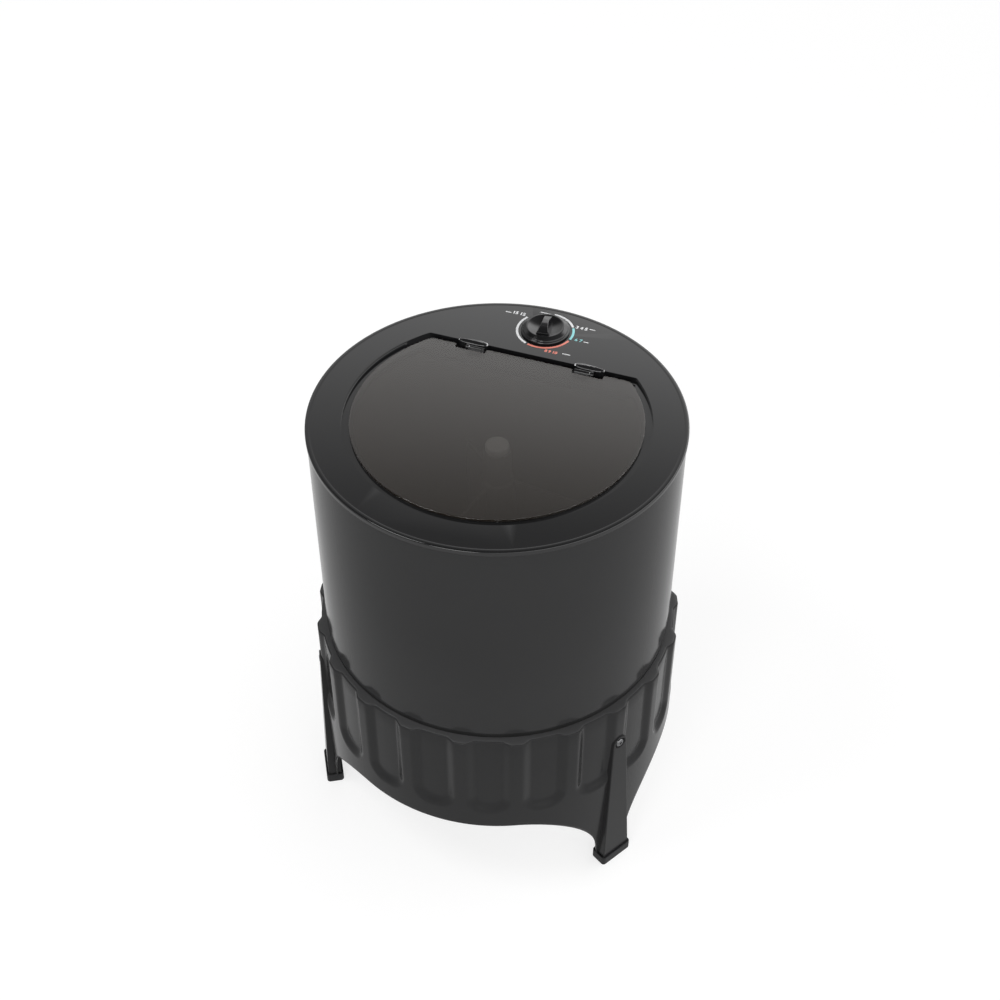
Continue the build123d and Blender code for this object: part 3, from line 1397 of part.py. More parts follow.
with BuildPart() as gland_nut:
    with BuildSketch(outward_plane(port_pad_radius, gland_angle, gland_height)):
        RegularPolygon(gland_nut_radius, 6)
        Circle(gland_thread_radius, mode=Mode.SUBTRACT)
    extrude(amount=-gland_nut_height)
gland_nut.part.label = "gland_nut"
export_step(gland_nut.part, "parts/gland_nut.step")

# Timer under the deck, on its bracket
timer_axis = Plane((0, knob_y, 0))
timer_bracket_foot = deck_underside - timer_bracket_thickness
with BuildPart() as timer_bracket:
    bracket_plane = timer_axis.offset(timer_bracket_foot)
    block(bracket_plane, timer_bracket_width, timer_bracket_depth, timer_bracket_thickness)
    disc(bracket_plane, deck_spindle_hole_radius, timer_bracket_thickness, mode=Mode.SUBTRACT)
    for side in (-1, 1):
        bracket_hole = Plane((side * timer_screw_spacing / 2, knob_y, timer_bracket_foot))
        disc(bracket_hole, timer_screw_radius, timer_bracket_thickness, mode=Mode.SUBTRACT)
timer_bracket.part.label = "timer_bracket"
export_step(timer_bracket.part, "parts/timer_bracket.step")

with BuildPart() as timer_body:
    body_plane = timer_axis.offset(timer_bracket_foot)
    block(body_plane, timer_width, timer_depth, -timer_height)
    spindle_bore = timer_spindle_radius + running_clearance
    disc(body_plane, spindle_bore, -timer_spindle_depth, mode=Mode.SUBTRACT)
    for side in (-1, 1):
        body_hole = Plane((side * timer_screw_spacing / 2, knob_y, timer_bracket_foot))
        disc(body_hole, timer_screw_radius, -timer_screw_length, mode=Mode.SUBTRACT)
timer_body.part.label = "timer_body"
export_step(timer_body.part, "parts/timer_body.step")

with BuildPart() as timer_screws:
    for side in (-1, 1):
        timer_seat = Plane(
            (side * timer_screw_spacing / 2, knob_y, deck_height - timer_screw_head_height)
        )
        screw(
            timer_seat, timer_screw_head_radius, timer_screw_head_height - timer_screw_sink,
            timer_screw_radius,
            timer_screw_length,
        )
timer_screws.part.label = "timer_screws"
export_step(timer_screws.part, "parts/timer_screws.step")

# Timer spindle, which turns with the knob
knob_foot = deck_height + knob_gap
knob_top = knob_foot + knob_height
dish_floor = knob_top - knob_dish_depth
spindle_top = dish_floor - knob_wall / 2
with BuildPart() as timer_spindle:
    spindle_foot = timer_bracket_foot - timer_spindle_depth + timer_spindle_end_gap
    disc(timer_axis.offset(spindle_foot), timer_spindle_radius, spindle_top - spindle_foot)
timer_spindle.part.label = "timer_spindle"
export_step(timer_spindle.part, "parts/timer_spindle.step")

# Knob: stepped skirt, dished top and a grip bar across the dish, its rear end sloped
with BuildPart() as timer_knob:
    with BuildSketch(Plane.XZ.offset(-knob_y)):
        with BuildLine():
            Polyline(
                (0, knob_foot),
                (knob_radius, knob_foot),
                (knob_radius, knob_foot + knob_skirt_height),
                (knob_cone_radius, knob_foot + knob_cone_height),
                (knob_band_foot_radius, knob_foot + knob_band_foot_height),
                (knob_band_radius, knob_foot + knob_band_height),
                (knob_rim_radius, knob_top),
                (knob_dish_radius, knob_top),
                (knob_dish_floor_radius, dish_floor),
                (0, dish_floor),
                close=True,
            )
        make_face()
    revolve(axis=Axis((0, knob_y, 0), (0, 0, 1)))
    with BuildSketch(timer_axis.offset(knob_foot)):
        Circle(knob_radius - 2 * knob_wall)
        Circle(knob_hub_radius, mode=Mode.SUBTRACT)
    extrude(amount=dish_floor - knob_foot - knob_wall, mode=Mode.SUBTRACT)
    disc(timer_axis.offset(knob_foot), timer_spindle_radius, spindle_top - knob_foot, mode=Mode.SUBTRACT)
    grip_plane = timer_axis.rotated((0, 0, grip_rest_turn)).offset(dish_floor)
    with BuildSketch(grip_plane):
        with BuildLine():
            Polyline(
                (-grip_front_width / 2, -grip_length / 2),
                (grip_front_width / 2, -grip_length / 2),
                (grip_rear_width / 2, grip_length / 2),
                (-grip_rear_width / 2, grip_length / 2),
                close=True,
            )
        make_face()
        fillet(vertices(), grip_corner_radius)
    extrude(amount=grip_rise + knob_dish_depth, taper=grip_taper)
    grip_side = Plane((0, knob_y, knob_top), grip_plane.y_dir, grip_plane.x_dir)
    with BuildSketch(grip_side):
        with BuildLine():
            Polyline(
                (grip_slope_start, grip_rise),
                (grip_length / 2, grip_rise),
                (grip_length / 2, 0),
                close=True,
            )
        make_face()
    extrude(amount=grip_front_width, both=True, mode=Mode.SUBTRACT)
timer_knob.part.label = "timer_knob"
export_step(timer_knob.part, "parts/timer_knob.step")
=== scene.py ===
"""Looks of a small round top-loading washing machine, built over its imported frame."""
import logging
from dataclasses import dataclass
from enum import Enum
from math import asin, atan2, cos, hypot, pi, radians, sin, sqrt

import bmesh
import bpy
from mathutils import Matrix, Vector


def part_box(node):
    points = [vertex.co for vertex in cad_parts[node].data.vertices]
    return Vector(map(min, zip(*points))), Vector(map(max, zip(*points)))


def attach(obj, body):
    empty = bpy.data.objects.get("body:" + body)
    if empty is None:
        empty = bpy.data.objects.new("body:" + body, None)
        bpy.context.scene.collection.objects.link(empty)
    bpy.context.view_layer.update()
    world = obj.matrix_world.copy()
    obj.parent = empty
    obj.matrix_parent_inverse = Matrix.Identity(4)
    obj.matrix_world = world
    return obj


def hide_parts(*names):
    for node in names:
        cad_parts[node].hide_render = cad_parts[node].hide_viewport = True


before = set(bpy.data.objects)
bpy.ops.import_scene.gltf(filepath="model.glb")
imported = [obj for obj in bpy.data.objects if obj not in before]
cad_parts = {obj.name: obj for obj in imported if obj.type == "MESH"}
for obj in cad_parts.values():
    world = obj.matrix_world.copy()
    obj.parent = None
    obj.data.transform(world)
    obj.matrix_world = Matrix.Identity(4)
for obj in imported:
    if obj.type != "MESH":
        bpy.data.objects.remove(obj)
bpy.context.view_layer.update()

log = logging.getLogger("washing_machine")

BMesh, Edge, Vert = bmesh.types.BMesh, bmesh.types.BMEdge, bmesh.types.BMVert
Node, Socket, Tree = bpy.types.Node, bpy.types.NodeSocket, bpy.types.NodeTree
Profile = list[tuple[float, float]]

MM = 0.001
CIRCLE_STEPS = 192
SHARP_ANGLE = radians(38)
CORNER_STEPS = 6
LEAST_CORNER = 0.6 * MM
MERGE_DISTANCE = 1e-6
COPY_MERGE_DISTANCE = 2e-6
FLAT_ANGLE = radians(0.4)
NOISE_MIDDLE = 0.5
SMEAR_FINENESS = 2.7
LEAST_ROUGHNESS = 0.02
GRAIN_DRAW = (1.0, 1.0, 0.06)
GRAIN_ROUGHNESS = 0.18
BLOOM_SCALE = 160.0


class Place(Enum):
    """The rigid bodies that pieces ride on."""

    CABINET = "cabinet"
    LID = "lid"
    KNOB = "knob"
    AGITATOR = "agitator"
    ROTOR = "rotor"


class Ink(Enum):
    """Colours of the marks printed round the knob."""

    WHITE = (0.80, 0.81, 0.82)
    RED = (0.80, 0.24, 0.18)
    BLUE = (0.30, 0.72, 0.74)

    def finish(self) -> "Finish":
        """Finish of the printed ink."""
        title = f"ink_{self.name.lower()}"
        return Finish(title, self.value, 0.35, cloud_scale=80.0, cloud_amount=0.05)


def polar(radius: float, angle: float, height: float = 0.0) -> Vector:
    """Point at an angle in degrees from the front, positive towards +X."""
    turn = radians(angle)
    return Vector((radius * sin(turn), -radius * cos(turn), height))


def limited(value: float) -> float:
    """Limits a number to the span from 0 to 1."""
    return min(max(value, 0), 1)


def node_top(node: str) -> float:
    """Highest point of a frame node, in metres."""
    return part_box(node)[1].z


def knob_axis(height: float) -> Vector:
    """Point of the knob's axis at a height."""
    low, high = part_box("timer_spindle")
    return Vector(((low.x + high.x) / 2, (low.y + high.y) / 2, height))


def node_foot(node: str) -> float:
    """Lowest point of a frame node, in metres."""
    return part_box(node)[0].z


@dataclass
class Web:
    """Nodes and links of one shader tree."""

    tree: Tree

    def feed(self, node: Node, inputs: dict[str | int, object]) -> None:
        """Sets or links a node's inputs.

        Args:
            node: The node.
            inputs: A value or another node's output for each input's name or number.
        """
        for label, value in inputs.items():
            if isinstance(value, Socket):
                self.tree.links.new(value, node.inputs[label])
            else:
                node.inputs[label].default_value = value

    def add(
        self, kind: str, inputs: dict[str | int, object] | None = None, **options: object
    ) -> Node:
        """Adds a shader node.

        Args:
            kind: The node's type without its prefix.
            inputs: What feed() takes.
            **options: The node's own settings.

        Returns:
            The new node.
        """
        node = self.tree.nodes.new(f"ShaderNode{kind}")
        for option, value in options.items():
            setattr(node, option, value)
        self.feed(node, inputs or {})
        return node

    def math(self, operation: str, *values: object) -> Socket:
        """Adds a Math node and returns its output."""
        return self.add("Math", dict(enumerate(values)), operation=operation).outputs[0]

    def scale(self, vector: Socket, factor: object) -> Socket:
        """Adds a node that scales a vector or a colour and returns its output."""
        node = self.add("VectorMath", {0: vector, "Scale": factor}, operation="SCALE")
        return node.outputs[0]

    def background_rays(self, *kinds: str) -> Socket:
        """Adds nodes that give 1 for the named kinds of ray.

        Args:
            *kinds: Names of the ray kinds.

        Returns:
            The socket with the value.
        """
        path = self.add("LightPath")
        value = path.outputs[f"Is {kinds[0]} Ray"]
        for kind in kinds[1:]:
            value = self.math("MAXIMUM", value, path.outputs[f"Is {kind} Ray"])
        return value


def new_group(
    name: str, grey: float, values: dict[str, float]
) -> tuple[Web, bpy.types.NodeOutputs, Node]:
    """Starts a shader group that puts out a colour, a roughness and a height.

    Args:
        name: The group's name.
        grey: Tone of its colour input at the start.
        values: Its number inputs and what they are at the start.

    Returns:
        The group's web, the sockets of its inputs and the node of its outputs.
    """
    tree = bpy.data.node_groups.new(name, "ShaderNodeTree")
    face = tree.interface
    shade = face.new_socket("Color", in_out="INPUT", socket_type="NodeSocketColor")
    shade.default_value = (grey, grey, grey, 1)
    for label, value in values.items():
        socket = face.new_socket(label, in_out="INPUT", socket_type="NodeSocketFloat")
        socket.default_value = value
    for label, kind in (("Color", "Color"), ("Roughness", "Float"), ("Height", "Float")):
        face.new_socket(label, in_out="OUTPUT", socket_type=f"NodeSocket{kind}")
    given = tree.nodes.new("NodeGroupInput").outputs
    return Web(tree), given, tree.nodes.new("NodeGroupOutput")


def surface_group() -> Tree:
    """Shader group for the uneven skin of a moulded, cast or painted surface.

    Returns:
        A node group that turns a colour and a roughness into slightly varied ones,
        with a fine height for a Bump node.
    """
    name = "uneven_skin"
    if name in bpy.data.node_groups:
        return bpy.data.node_groups[name]
    values = {"Roughness": 0.3, "Cloud Scale": 6.0, "Cloud Amount": 0.1}
    values |= {"Grain Scale": 900.0, "Smear Amount": 0.05}
    web, given, leave = new_group(name, 0.5, values)
    place = web.add("TexCoord").outputs["Object"]
    clouds = {"Vector": place, "Scale": given["Cloud Scale"], "Detail": 4.0}
    grains = {"Vector": place, "Scale": given["Grain Scale"], "Detail": 2.0}
    smear_scale = web.math("MULTIPLY", given["Cloud Scale"], SMEAR_FINENESS)
    smears = {"Vector": place, "Scale": smear_scale, "Detail": 6.0, "Distortion": 1.5}
    cloud, grain, smear = (
        web.add("TexNoise", inputs).outputs["Fac"] for inputs in (clouds, grains, smears)
    )
    centred = web.math("SUBTRACT", cloud, NOISE_MIDDLE)
    lift = web.math("MULTIPLY_ADD", centred, given["Cloud Amount"], 1.0)
    centred = web.math("SUBTRACT", smear, NOISE_MIDDLE)
    rough = web.math("MULTIPLY_ADD", centred, given["Smear Amount"], given["Roughness"])
    clamp = web.add("Clamp", {"Value": rough, "Min": LEAST_ROUGHNESS})
    color = web.scale(given["Color"], lift)
    web.feed(leave, {"Color": color, "Roughness": clamp.outputs[0], "Height": grain})
    return web.tree


def brushed_group() -> Tree:
    """Shader group for metal with a drawn grain and a spotty zinc bloom.

    Returns:
        A node group with a varied colour, roughness and height.
    """
    name = "drawn_metal"
    if name in bpy.data.node_groups:
        return bpy.data.node_groups[name]
    values = {"Roughness": 0.35, "Grain Scale": 400.0, "Bloom Amount": 0.15}
    web, given, leave = new_group(name, 0.6, values)
    place = web.add("TexCoord").outputs["Object"]
    drawn = web.add("Mapping", {"Vector": place, "Scale": GRAIN_DRAW}).outputs["Vector"]
    grains = {"Vector": drawn, "Scale": given["Grain Scale"], "Detail": 3.0}
    grain = web.add("TexNoise", grains).outputs["Fac"]
    spots = web.add("TexVoronoi", {"Vector": place, "Scale": BLOOM_SCALE}).outputs["Distance"]
    darkest = web.math("SUBTRACT", 1.0, given["Bloom Amount"])
    shade = web.add("MapRange", {"Value": spots, "To Min": 1.0, "To Max": darkest})
    color = web.scale(given["Color"], shade.outputs["Result"])
    rough = web.math("MULTIPLY_ADD", grain, GRAIN_ROUGHNESS, given["Roughness"])
    web.feed(leave, {"Color": color, "Roughness": rough, "Height": grain})
    return web.tree


@dataclass(frozen=True)
class Surface:
    """What the finishes share. Numbers are the shader's own; lengths are in metres."""

    name: str
    color: tuple[float, float, float]
    roughness: float
    alpha: float = 1.0

    def material(self) -> bpy.types.Material:
        """Builds the material once and returns it."""
        title = f"looks_{self.name}"
        if title in bpy.data.materials:
            return bpy.data.materials[title]
        material = bpy.data.materials.new(title)
        material.use_nodes = True
        self.wire(Web(material.node_tree), material.node_tree.nodes["Principled BSDF"])
        material.diffuse_color = (*self.color, self.alpha)
        return material

    def wire(self, web: Web, shader: Node) -> None:
        """Wires the material's nodes; each finish does it in its own way."""
        raise NotImplementedError

    def lay_skin(
        self, web: Web, shader: Node, group: Tree, values: dict[str, float]
    ) -> Socket:
        """Lays a group's colour and roughness on the shader.

        Args:
            web: The material's nodes.
            shader: Its shader.
            group: The shader group.
            values: The group's numbers, apart from the roughness.

        Returns:
            The group's height.
        """
        skin = web.add("Group", node_tree=group)
        web.feed(skin, {"Color": (*self.color, 1), "Roughness": self.roughness, **values})
        out = skin.outputs
        web.feed(shader, {"Base Color": out["Color"], "Roughness": out["Roughness"]})
        return out["Height"]

    def lay_grain(
        self, web: Web, shader: Node, height: Socket, depth: float
    ) -> None:
        """Lays a fine relief on the shader.

        Args:
            web: The material's nodes.
            shader: Its shader.
            height: The relief's height, from 0 to 1.
            depth: Its real depth.
        """
        bump = web.add("Bump", {"Strength": 1.0, "Distance": depth, "Height": height})
        web.feed(shader, {"Normal": bump.outputs["Normal"]})


@dataclass(frozen=True)
class Finish(Surface):
    """A moulded, rubber or painted surface."""

    cloud_scale: float = 5.0
    cloud_amount: float = 0.12
    smear_amount: float = 0.04
    grain_scale: float = 900.0
    grain_height: float = 0.00002
    ior: float = 1.5

    def wire(self, web: Web, shader: Node) -> None:
        """Wires the uneven skin and its grain."""
        values = {"Cloud Scale": self.cloud_scale, "Cloud Amount": self.cloud_amount}
        values |= {"Grain Scale": self.grain_scale, "Smear Amount": self.smear_amount}
        height = self.lay_skin(web, shader, surface_group(), values)
        self.lay_grain(web, shader, height, self.grain_height)
        web.feed(shader, {"IOR": self.ior})


@dataclass(frozen=True)
class MetalFinish(Surface):
    """Bare or plated metal with a drawn grain."""

    grain_scale: float = 400.0
    grain_height: float = 0.00001
    bloom: float = 0.12

    def wire(self, web: Web, shader: Node) -> None:
        """Wires the drawn metal and its grain."""
        values = {"Grain Scale": self.grain_scale, "Bloom Amount": self.bloom}
        height = self.lay_skin(web, shader, brushed_group(), values)
        self.lay_grain(web, shader, height, self.grain_height)
        web.feed(shader, {"Metallic": 1.0})


@dataclass(frozen=True)
class SmokedSheet(Surface):
    """Tinted see-through plastic sheet, polished on both faces."""

    ior: float = 2.0
    cloud_scale: float = 3.0
    cloud_amount: float = 0.06
    smear_amount: float = 0.02

    def wire(self, web: Web, shader: Node) -> None:
        """Wires the tinted skin and its see-through share."""
        values = {"Cloud Scale": self.cloud_scale, "Cloud Amount": self.cloud_amount}
        values |= {"Smear Amount": self.smear_amount}
        self.lay_skin(web, shader, surface_group(), values)
        web.feed(shader, {"Alpha": self.alpha, "IOR": self.ior})


DECK_GLOSS = Finish("deck_gloss", (0.007, 0.007, 0.0075), 0.05, grain_height=0.000003)
DRUM_GLOSS = Finish(
    "drum_gloss", (0.034, 0.034, 0.0345), 0.13, cloud_amount=0.2, smear_amount=0.05, ior=1.16
)
BASE_GLOSS = Finish(
    "base_gloss", (0.027, 0.027, 0.0275), 0.18, cloud_amount=0.2, smear_amount=0.06, ior=1.17
)
# The ledge's colour is twice the base's black: painted sheen for the light the ledge catches, while
# its rougher skin is real.
LEDGE_SATIN_PAINTED_SHEEN = Finish("ledge_satin_painted_sheen", (0.055, 0.055, 0.056), 0.45, cloud_amount=0.2, ior=1.4)
# The seat band is a real part; its black, darker than the drum's, is painted shade under the drum's
# foot.
SEAT_BAND_PAINTED_SHADE = Finish("seat_band_painted_shade", (0.014, 0.014, 0.014), 0.4, ior=1.3)
KNOB_GLOSS = Finish("knob_gloss", (0.006, 0.006, 0.0065), 0.12, cloud_scale=30.0)
HINGE_GLOSS = Finish("hinge_gloss", (0.008, 0.008, 0.0085), 0.08, cloud_scale=30.0)
FOOT_RUBBER = Finish(
    "foot_rubber", (0.014, 0.014, 0.015), 0.5, cloud_scale=40.0, grain_height=0.00006, ior=1.3
)
SEAL_RUBBER = Finish(
    "seal_rubber", (0.03, 0.03, 0.03), 0.6, cloud_scale=40.0, grain_height=0.00005
)
TUB_PLASTIC = Finish("tub_plastic", (0.13, 0.11, 0.09), 0.35, grain_height=0.000006)
AGITATOR_PLASTIC = Finish("agitator_plastic", (0.20, 0.18, 0.16), 0.3, grain_height=0.000006)
CAP_PLASTIC = Finish("cap_plastic", (0.74, 0.70, 0.65), 0.3, grain_height=0.000006)
PIPE_PLASTIC = Finish("pipe_plastic", (0.22, 0.22, 0.23), 0.4, cloud_scale=30.0)
TIMER_PLASTIC = Finish("timer_plastic", (0.5, 0.48, 0.42), 0.45, cloud_scale=30.0)
PLATE_PAINT = Finish(
    "plate_paint", (0.05, 0.05, 0.053), 0.4, cloud_scale=12.0, grain_height=0.00004
)
MOTOR_PAINT = Finish(
    "motor_paint", (0.09, 0.09, 0.095), 0.38, cloud_scale=20.0, grain_height=0.00004
)
WINDING_VARNISH = Finish("winding_varnish", (0.22, 0.09, 0.04), 0.3, cloud_scale=60.0)
ZINC = MetalFinish("zinc_plate", (0.62, 0.62, 0.6), 0.22)
HINGE_STEEL = MetalFinish("hinge_steel", (0.85, 0.85, 0.86), 0.06, bloom=0.04)
DARK_STEEL = MetalFinish("dark_steel", (0.16, 0.16, 0.165), 0.12, bloom=0.05)
CAST_ALUMINIUM = MetalFinish("cast_aluminium", (0.58, 0.58, 0.59), 0.38, grain_scale=250.0)
BRONZE = MetalFinish("bronze", (0.5, 0.34, 0.16), 0.3)
LID_SMOKE = SmokedSheet("lid_smoke", (0.009, 0.004, 0.0), 0.03, alpha=0.56)

NODE_FINISHES = {
    node: finish
    for finish, nodes in (
        (
            ZINC,
            "leg_brackets tab_screws drum_screws deck_screws hinge_pins hinge_screws"
            " housing_screws plate_screws motor_bolts motor_nuts motor_rotor agitator_shaft"
            " agitator_screw thrust_collar pulley_nut hose_clamps timer_bracket timer_screws"
            " timer_spindle capacitor_clip",
        ),
        (DARK_STEEL, "leg_screws"),
        (FOOT_RUBBER, "rubber_feet"),
        (SEAL_RUBBER, "tub_gasket lid_bumpers shaft_seal drive_belt motor_bushes drain_hose"),
        (PLATE_PAINT, "motor_plate"),
        (MOTOR_PAINT, "motor_housing"),
        (WINDING_VARNISH, "motor_stator"),
        (CAST_ALUMINIUM, "bearing_housing large_pulley small_pulley run_capacitor"),
        (BRONZE, "shaft_bushes motor_bearings"),
        (PIPE_PLASTIC, "drain_elbow drain_spigot spigot_nut drain_strainer cable_gland gland_nut"),
        (TIMER_PLASTIC, "timer_body"),
        (DRUM_GLOSS, "outer_drum"),
        (BASE_GLOSS, "skirt_front skirt_right skirt_left base_legs seat_pan"),
        (SEAT_BAND_PAINTED_SHADE, "drum_seat_ring"),
        (DECK_GLOSS, "top_deck"),
        (HINGE_GLOSS, "hinge_bases hinge_leaves"),
        (LID_SMOKE, "lid_panel"),
        (KNOB_GLOSS, "timer_knob"),
        (TUB_PLASTIC, "wash_tub"),
        (AGITATOR_PLASTIC, "agitator"),
        (CAP_PLASTIC, "agitator_cap"),
    )
    for node in nodes.split()
}


def new_object(name: str, data: bpy.types.ID) -> bpy.types.Object:
    """Adds an object to the scene."""
    thing = bpy.data.objects.new(name, data)
    bpy.context.scene.collection.objects.link(thing)
    return thing


def verts_of(geometry: list) -> list[Vert]:
    """Picks the vertices out of an operator's output."""
    return [item for item in geometry if isinstance(item, Vert)]


def bevel(
    mesh: BMesh, edges: list[Edge], width: float, segments: int
) -> None:
    """Rounds edges.

    Args:
        mesh: The mesh.
        edges: Its edges to round.
        width: Width of the rounding on each side, in metres.
        segments: Number of pieces of the rounding.
    """
    bmesh.ops.bevel(
        mesh, geom=edges, offset=width, offset_type="OFFSET", affect="EDGES",
        segments=segments, profile=0.5, material=-1, clamp_overlap=True,
    )


def add_loop(mesh: BMesh, points: list[Vector]) -> list[Edge]:
    """Adds a closed outline.

    Args:
        mesh: The mesh that takes the outline.
        points: Its corners in order.

    Returns:
        The outline's edges.
    """
    verts = [mesh.verts.new(point) for point in points]
    return [mesh.edges.new((a, b)) for a, b in zip(verts, verts[1:] + verts[:1])]


def bridge_outlines(mesh: BMesh, outlines: list[list[Vector]], capped: bool) -> None:
    """Skins outlines of equal counts one after the other.

    Args:
        mesh: The mesh that takes the skin.
        outlines: Closed outlines from the first to the last.
        capped: Whether the first and the last outline are filled.
    """
    loops = [add_loop(mesh, points) for points in outlines]
    for lower, upper in zip(loops, loops[1:]):
        bmesh.ops.bridge_loops(mesh, edges=lower + upper)
    if capped:
        bmesh.ops.edgeloop_fill(mesh, edges=loops[0])
        bmesh.ops.edgeloop_fill(mesh, edges=loops[-1])
    bmesh.ops.recalc_face_normals(mesh, faces=mesh.faces)


def lathe(
    profile: Profile,
    closed: bool,
    centre: tuple[float, float] = (0.0, 0.0),
    steps: int = CIRCLE_STEPS,
) -> BMesh:
    """Turns a profile about an upright axis.

    Args:
        profile: Radius and height of each corner, in metres.
        closed: Whether the profile is a closed loop clear of the axis.
        centre: The axis's x and y.
        steps: Number of segments round the axis.

    Returns:
        The turned mesh, its normals pointing outwards.
    """
    mesh = bmesh.new()
    verts = [mesh.verts.new((centre[0] + r, centre[1], z)) for r, z in profile]
    pairs = list(zip(verts, verts[1:]))
    if closed:
        pairs.append((verts[-1], verts[0]))
    edges = [mesh.edges.new(pair) for pair in pairs]
    geometry, foot = verts + edges, (*centre, 0)
    bmesh.ops.spin(
        mesh, geom=geometry, cent=foot, axis=(0, 0, 1), angle=2 * pi, steps=steps, use_merge=True
    )
    return closed_up(mesh)


def closed_up(mesh: BMesh) -> BMesh:
    """Joins a mesh's seam and turns its faces outwards."""
    bmesh.ops.remove_doubles(mesh, verts=mesh.verts, dist=MERGE_DISTANCE)
    bmesh.ops.recalc_face_normals(mesh, faces=mesh.faces)
    return mesh


def rounded(
    corner: tuple[float, float],
    before: tuple[float, float],
    after: tuple[float, float],
    radius: float,
    steps: int = 4,
) -> Profile:
    """Points that round one corner of a profile.

    Args:
        corner: The corner.
        before: The profile's point before it.
        after: The profile's point after it.
        radius: Distance from the corner at which the rounding starts and ends.
        steps: Number of pieces of the rounding.

    Returns:
        Points from the side of before to the side of after.
    """
    def towards(target: tuple[float, float]) -> tuple[float, float]:
        """Point on the way to a neighbour, at most half way."""
        length = hypot(target[0] - corner[0], target[1] - corner[1])
        share = min(radius / length, 0.5)
        return (
            corner[0] + (target[0] - corner[0]) * share,
            corner[1] + (target[1] - corner[1]) * share,
        )

    start, end = towards(before), towards(after)
    points = []
    for step in range(steps + 1):
        t = step / steps
        points.append(
            tuple(
                (1 - t) ** 2 * start[axis] + 2 * t * (1 - t) * corner[axis] + t**2 * end[axis]
                for axis in (0, 1)
            )
        )
    return points


def soften(
    profile: Profile, radius: float, closed: bool
) -> Profile:
    """Rounds every corner of a profile, except the ends of an open one."""
    count = len(profile)
    points = []
    for i, corner in enumerate(profile):
        if not closed and i in (0, count - 1):
            points.append(corner)
            continue
        points += rounded(corner, profile[i - 1], profile[(i + 1) % count], radius)
    return points


def make_piece(
    name: str,
    mesh: BMesh,
    finish: Surface,
    place: Place,
    nodes: tuple[str, ...] = (),
    even: bool = True,
) -> bpy.types.Object:
    """Turns a mesh into a dressed piece that rides on a body.

    Args:
        name: The piece's name.
        mesh: Its shape, in metres, in the machine's frame. It is freed.
        finish: Its material.
        place: The body that it rides on.
        nodes: Frame nodes that it stands for.
        even: Whether large faces rule the shading at its edges.

    Returns:
        The new object.
    """
    data = bpy.data.meshes.new(name)
    mesh.to_mesh(data)
    mesh.free()
    data.shade_smooth()
    data.set_sharp_from_angle(angle=SHARP_ANGLE)
    piece = new_object(name, data)
    data.materials.append(finish.material())
    if even:
        weighted = piece.modifiers.new("even_faces", "WEIGHTED_NORMAL")
        weighted.keep_sharp = True
    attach(piece, place.value)
    if nodes:
        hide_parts(*nodes)
    log.info("%s: %d faces on %s", name, len(data.polygons), place.value)
    return piece


def refined_copy(
    name: str, node: str, finish: Surface, place: Place, edge: float
) -> bpy.types.Object:
    """Copies a frame node's shape with merged, softly broken edges and stands in for it.

    Args:
        name: The piece's name.
        node: The frame node.
        finish: Its material.
        place: The body that it rides on.
        edge: Width of the broken edges, in metres, or 0 for none.

    Returns:
        The new object.
    """
    mesh = bmesh.new()
    mesh.from_mesh(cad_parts[node].data)
    bmesh.ops.remove_doubles(mesh, verts=mesh.verts, dist=COPY_MERGE_DISTANCE)
    bmesh.ops.dissolve_limit(
        mesh, angle_limit=FLAT_ANGLE, verts=mesh.verts, edges=mesh.edges, delimit={"NORMAL"}
    )
    if edge > 0:
        sharp = [e for e in mesh.edges if e.is_manifold and e.calc_face_angle(0) > SHARP_ANGLE]
        bevel(mesh, sharp, edge, segments=2)
    return make_piece(name, mesh, finish, place, (node,))


@dataclass
class Drum:
    """Outer drum and the band that it stands on, darkened with painted shade."""

    wall: float = 3 * MM
    hem: float = 15 * MM
    edge: float = 1.6 * MM
    band_width: float = 12 * MM
    band_edge: float = 0.5 * MM

    def build(self) -> None:
        """Builds both turned pieces."""
        low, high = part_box("outer_drum")
        hem, inner, floor = high.x - self.hem, high.x - self.wall, low.z + self.wall
        shell = [(hem, low.z), (high.x, low.z), (high.x, high.z)]
        shell += [(inner, high.z), (inner, floor), (hem, floor)]
        self.turned("drum_shell", shell, self.edge, DRUM_GLOSS, "outer_drum")
        # The band takes the darker seat finish, painted shade under the drum's foot.
        low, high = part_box("drum_seat_ring")
        inner = high.x - self.band_width
        band = [(inner, low.z), (high.x, low.z), (high.x, high.z), (inner, high.z)]
        self.turned("shaded_seat_band", band, self.band_edge, SEAT_BAND_PAINTED_SHADE, "drum_seat_ring")

    def turned(
        self, name: str, profile: Profile, edge: float, finish: Finish, node: str
    ) -> None:
        """Makes one turned piece.

        Args:
            name: The piece's name.
            profile: Radius and height of each corner.
            edge: Size of the rounding of its corners.
            finish: Its material.
            node: The frame node that it stands for.
        """
        mesh = lathe(soften(profile, edge, closed=True), closed=True)
        make_piece(name, mesh, finish, Place.CABINET, (node,))


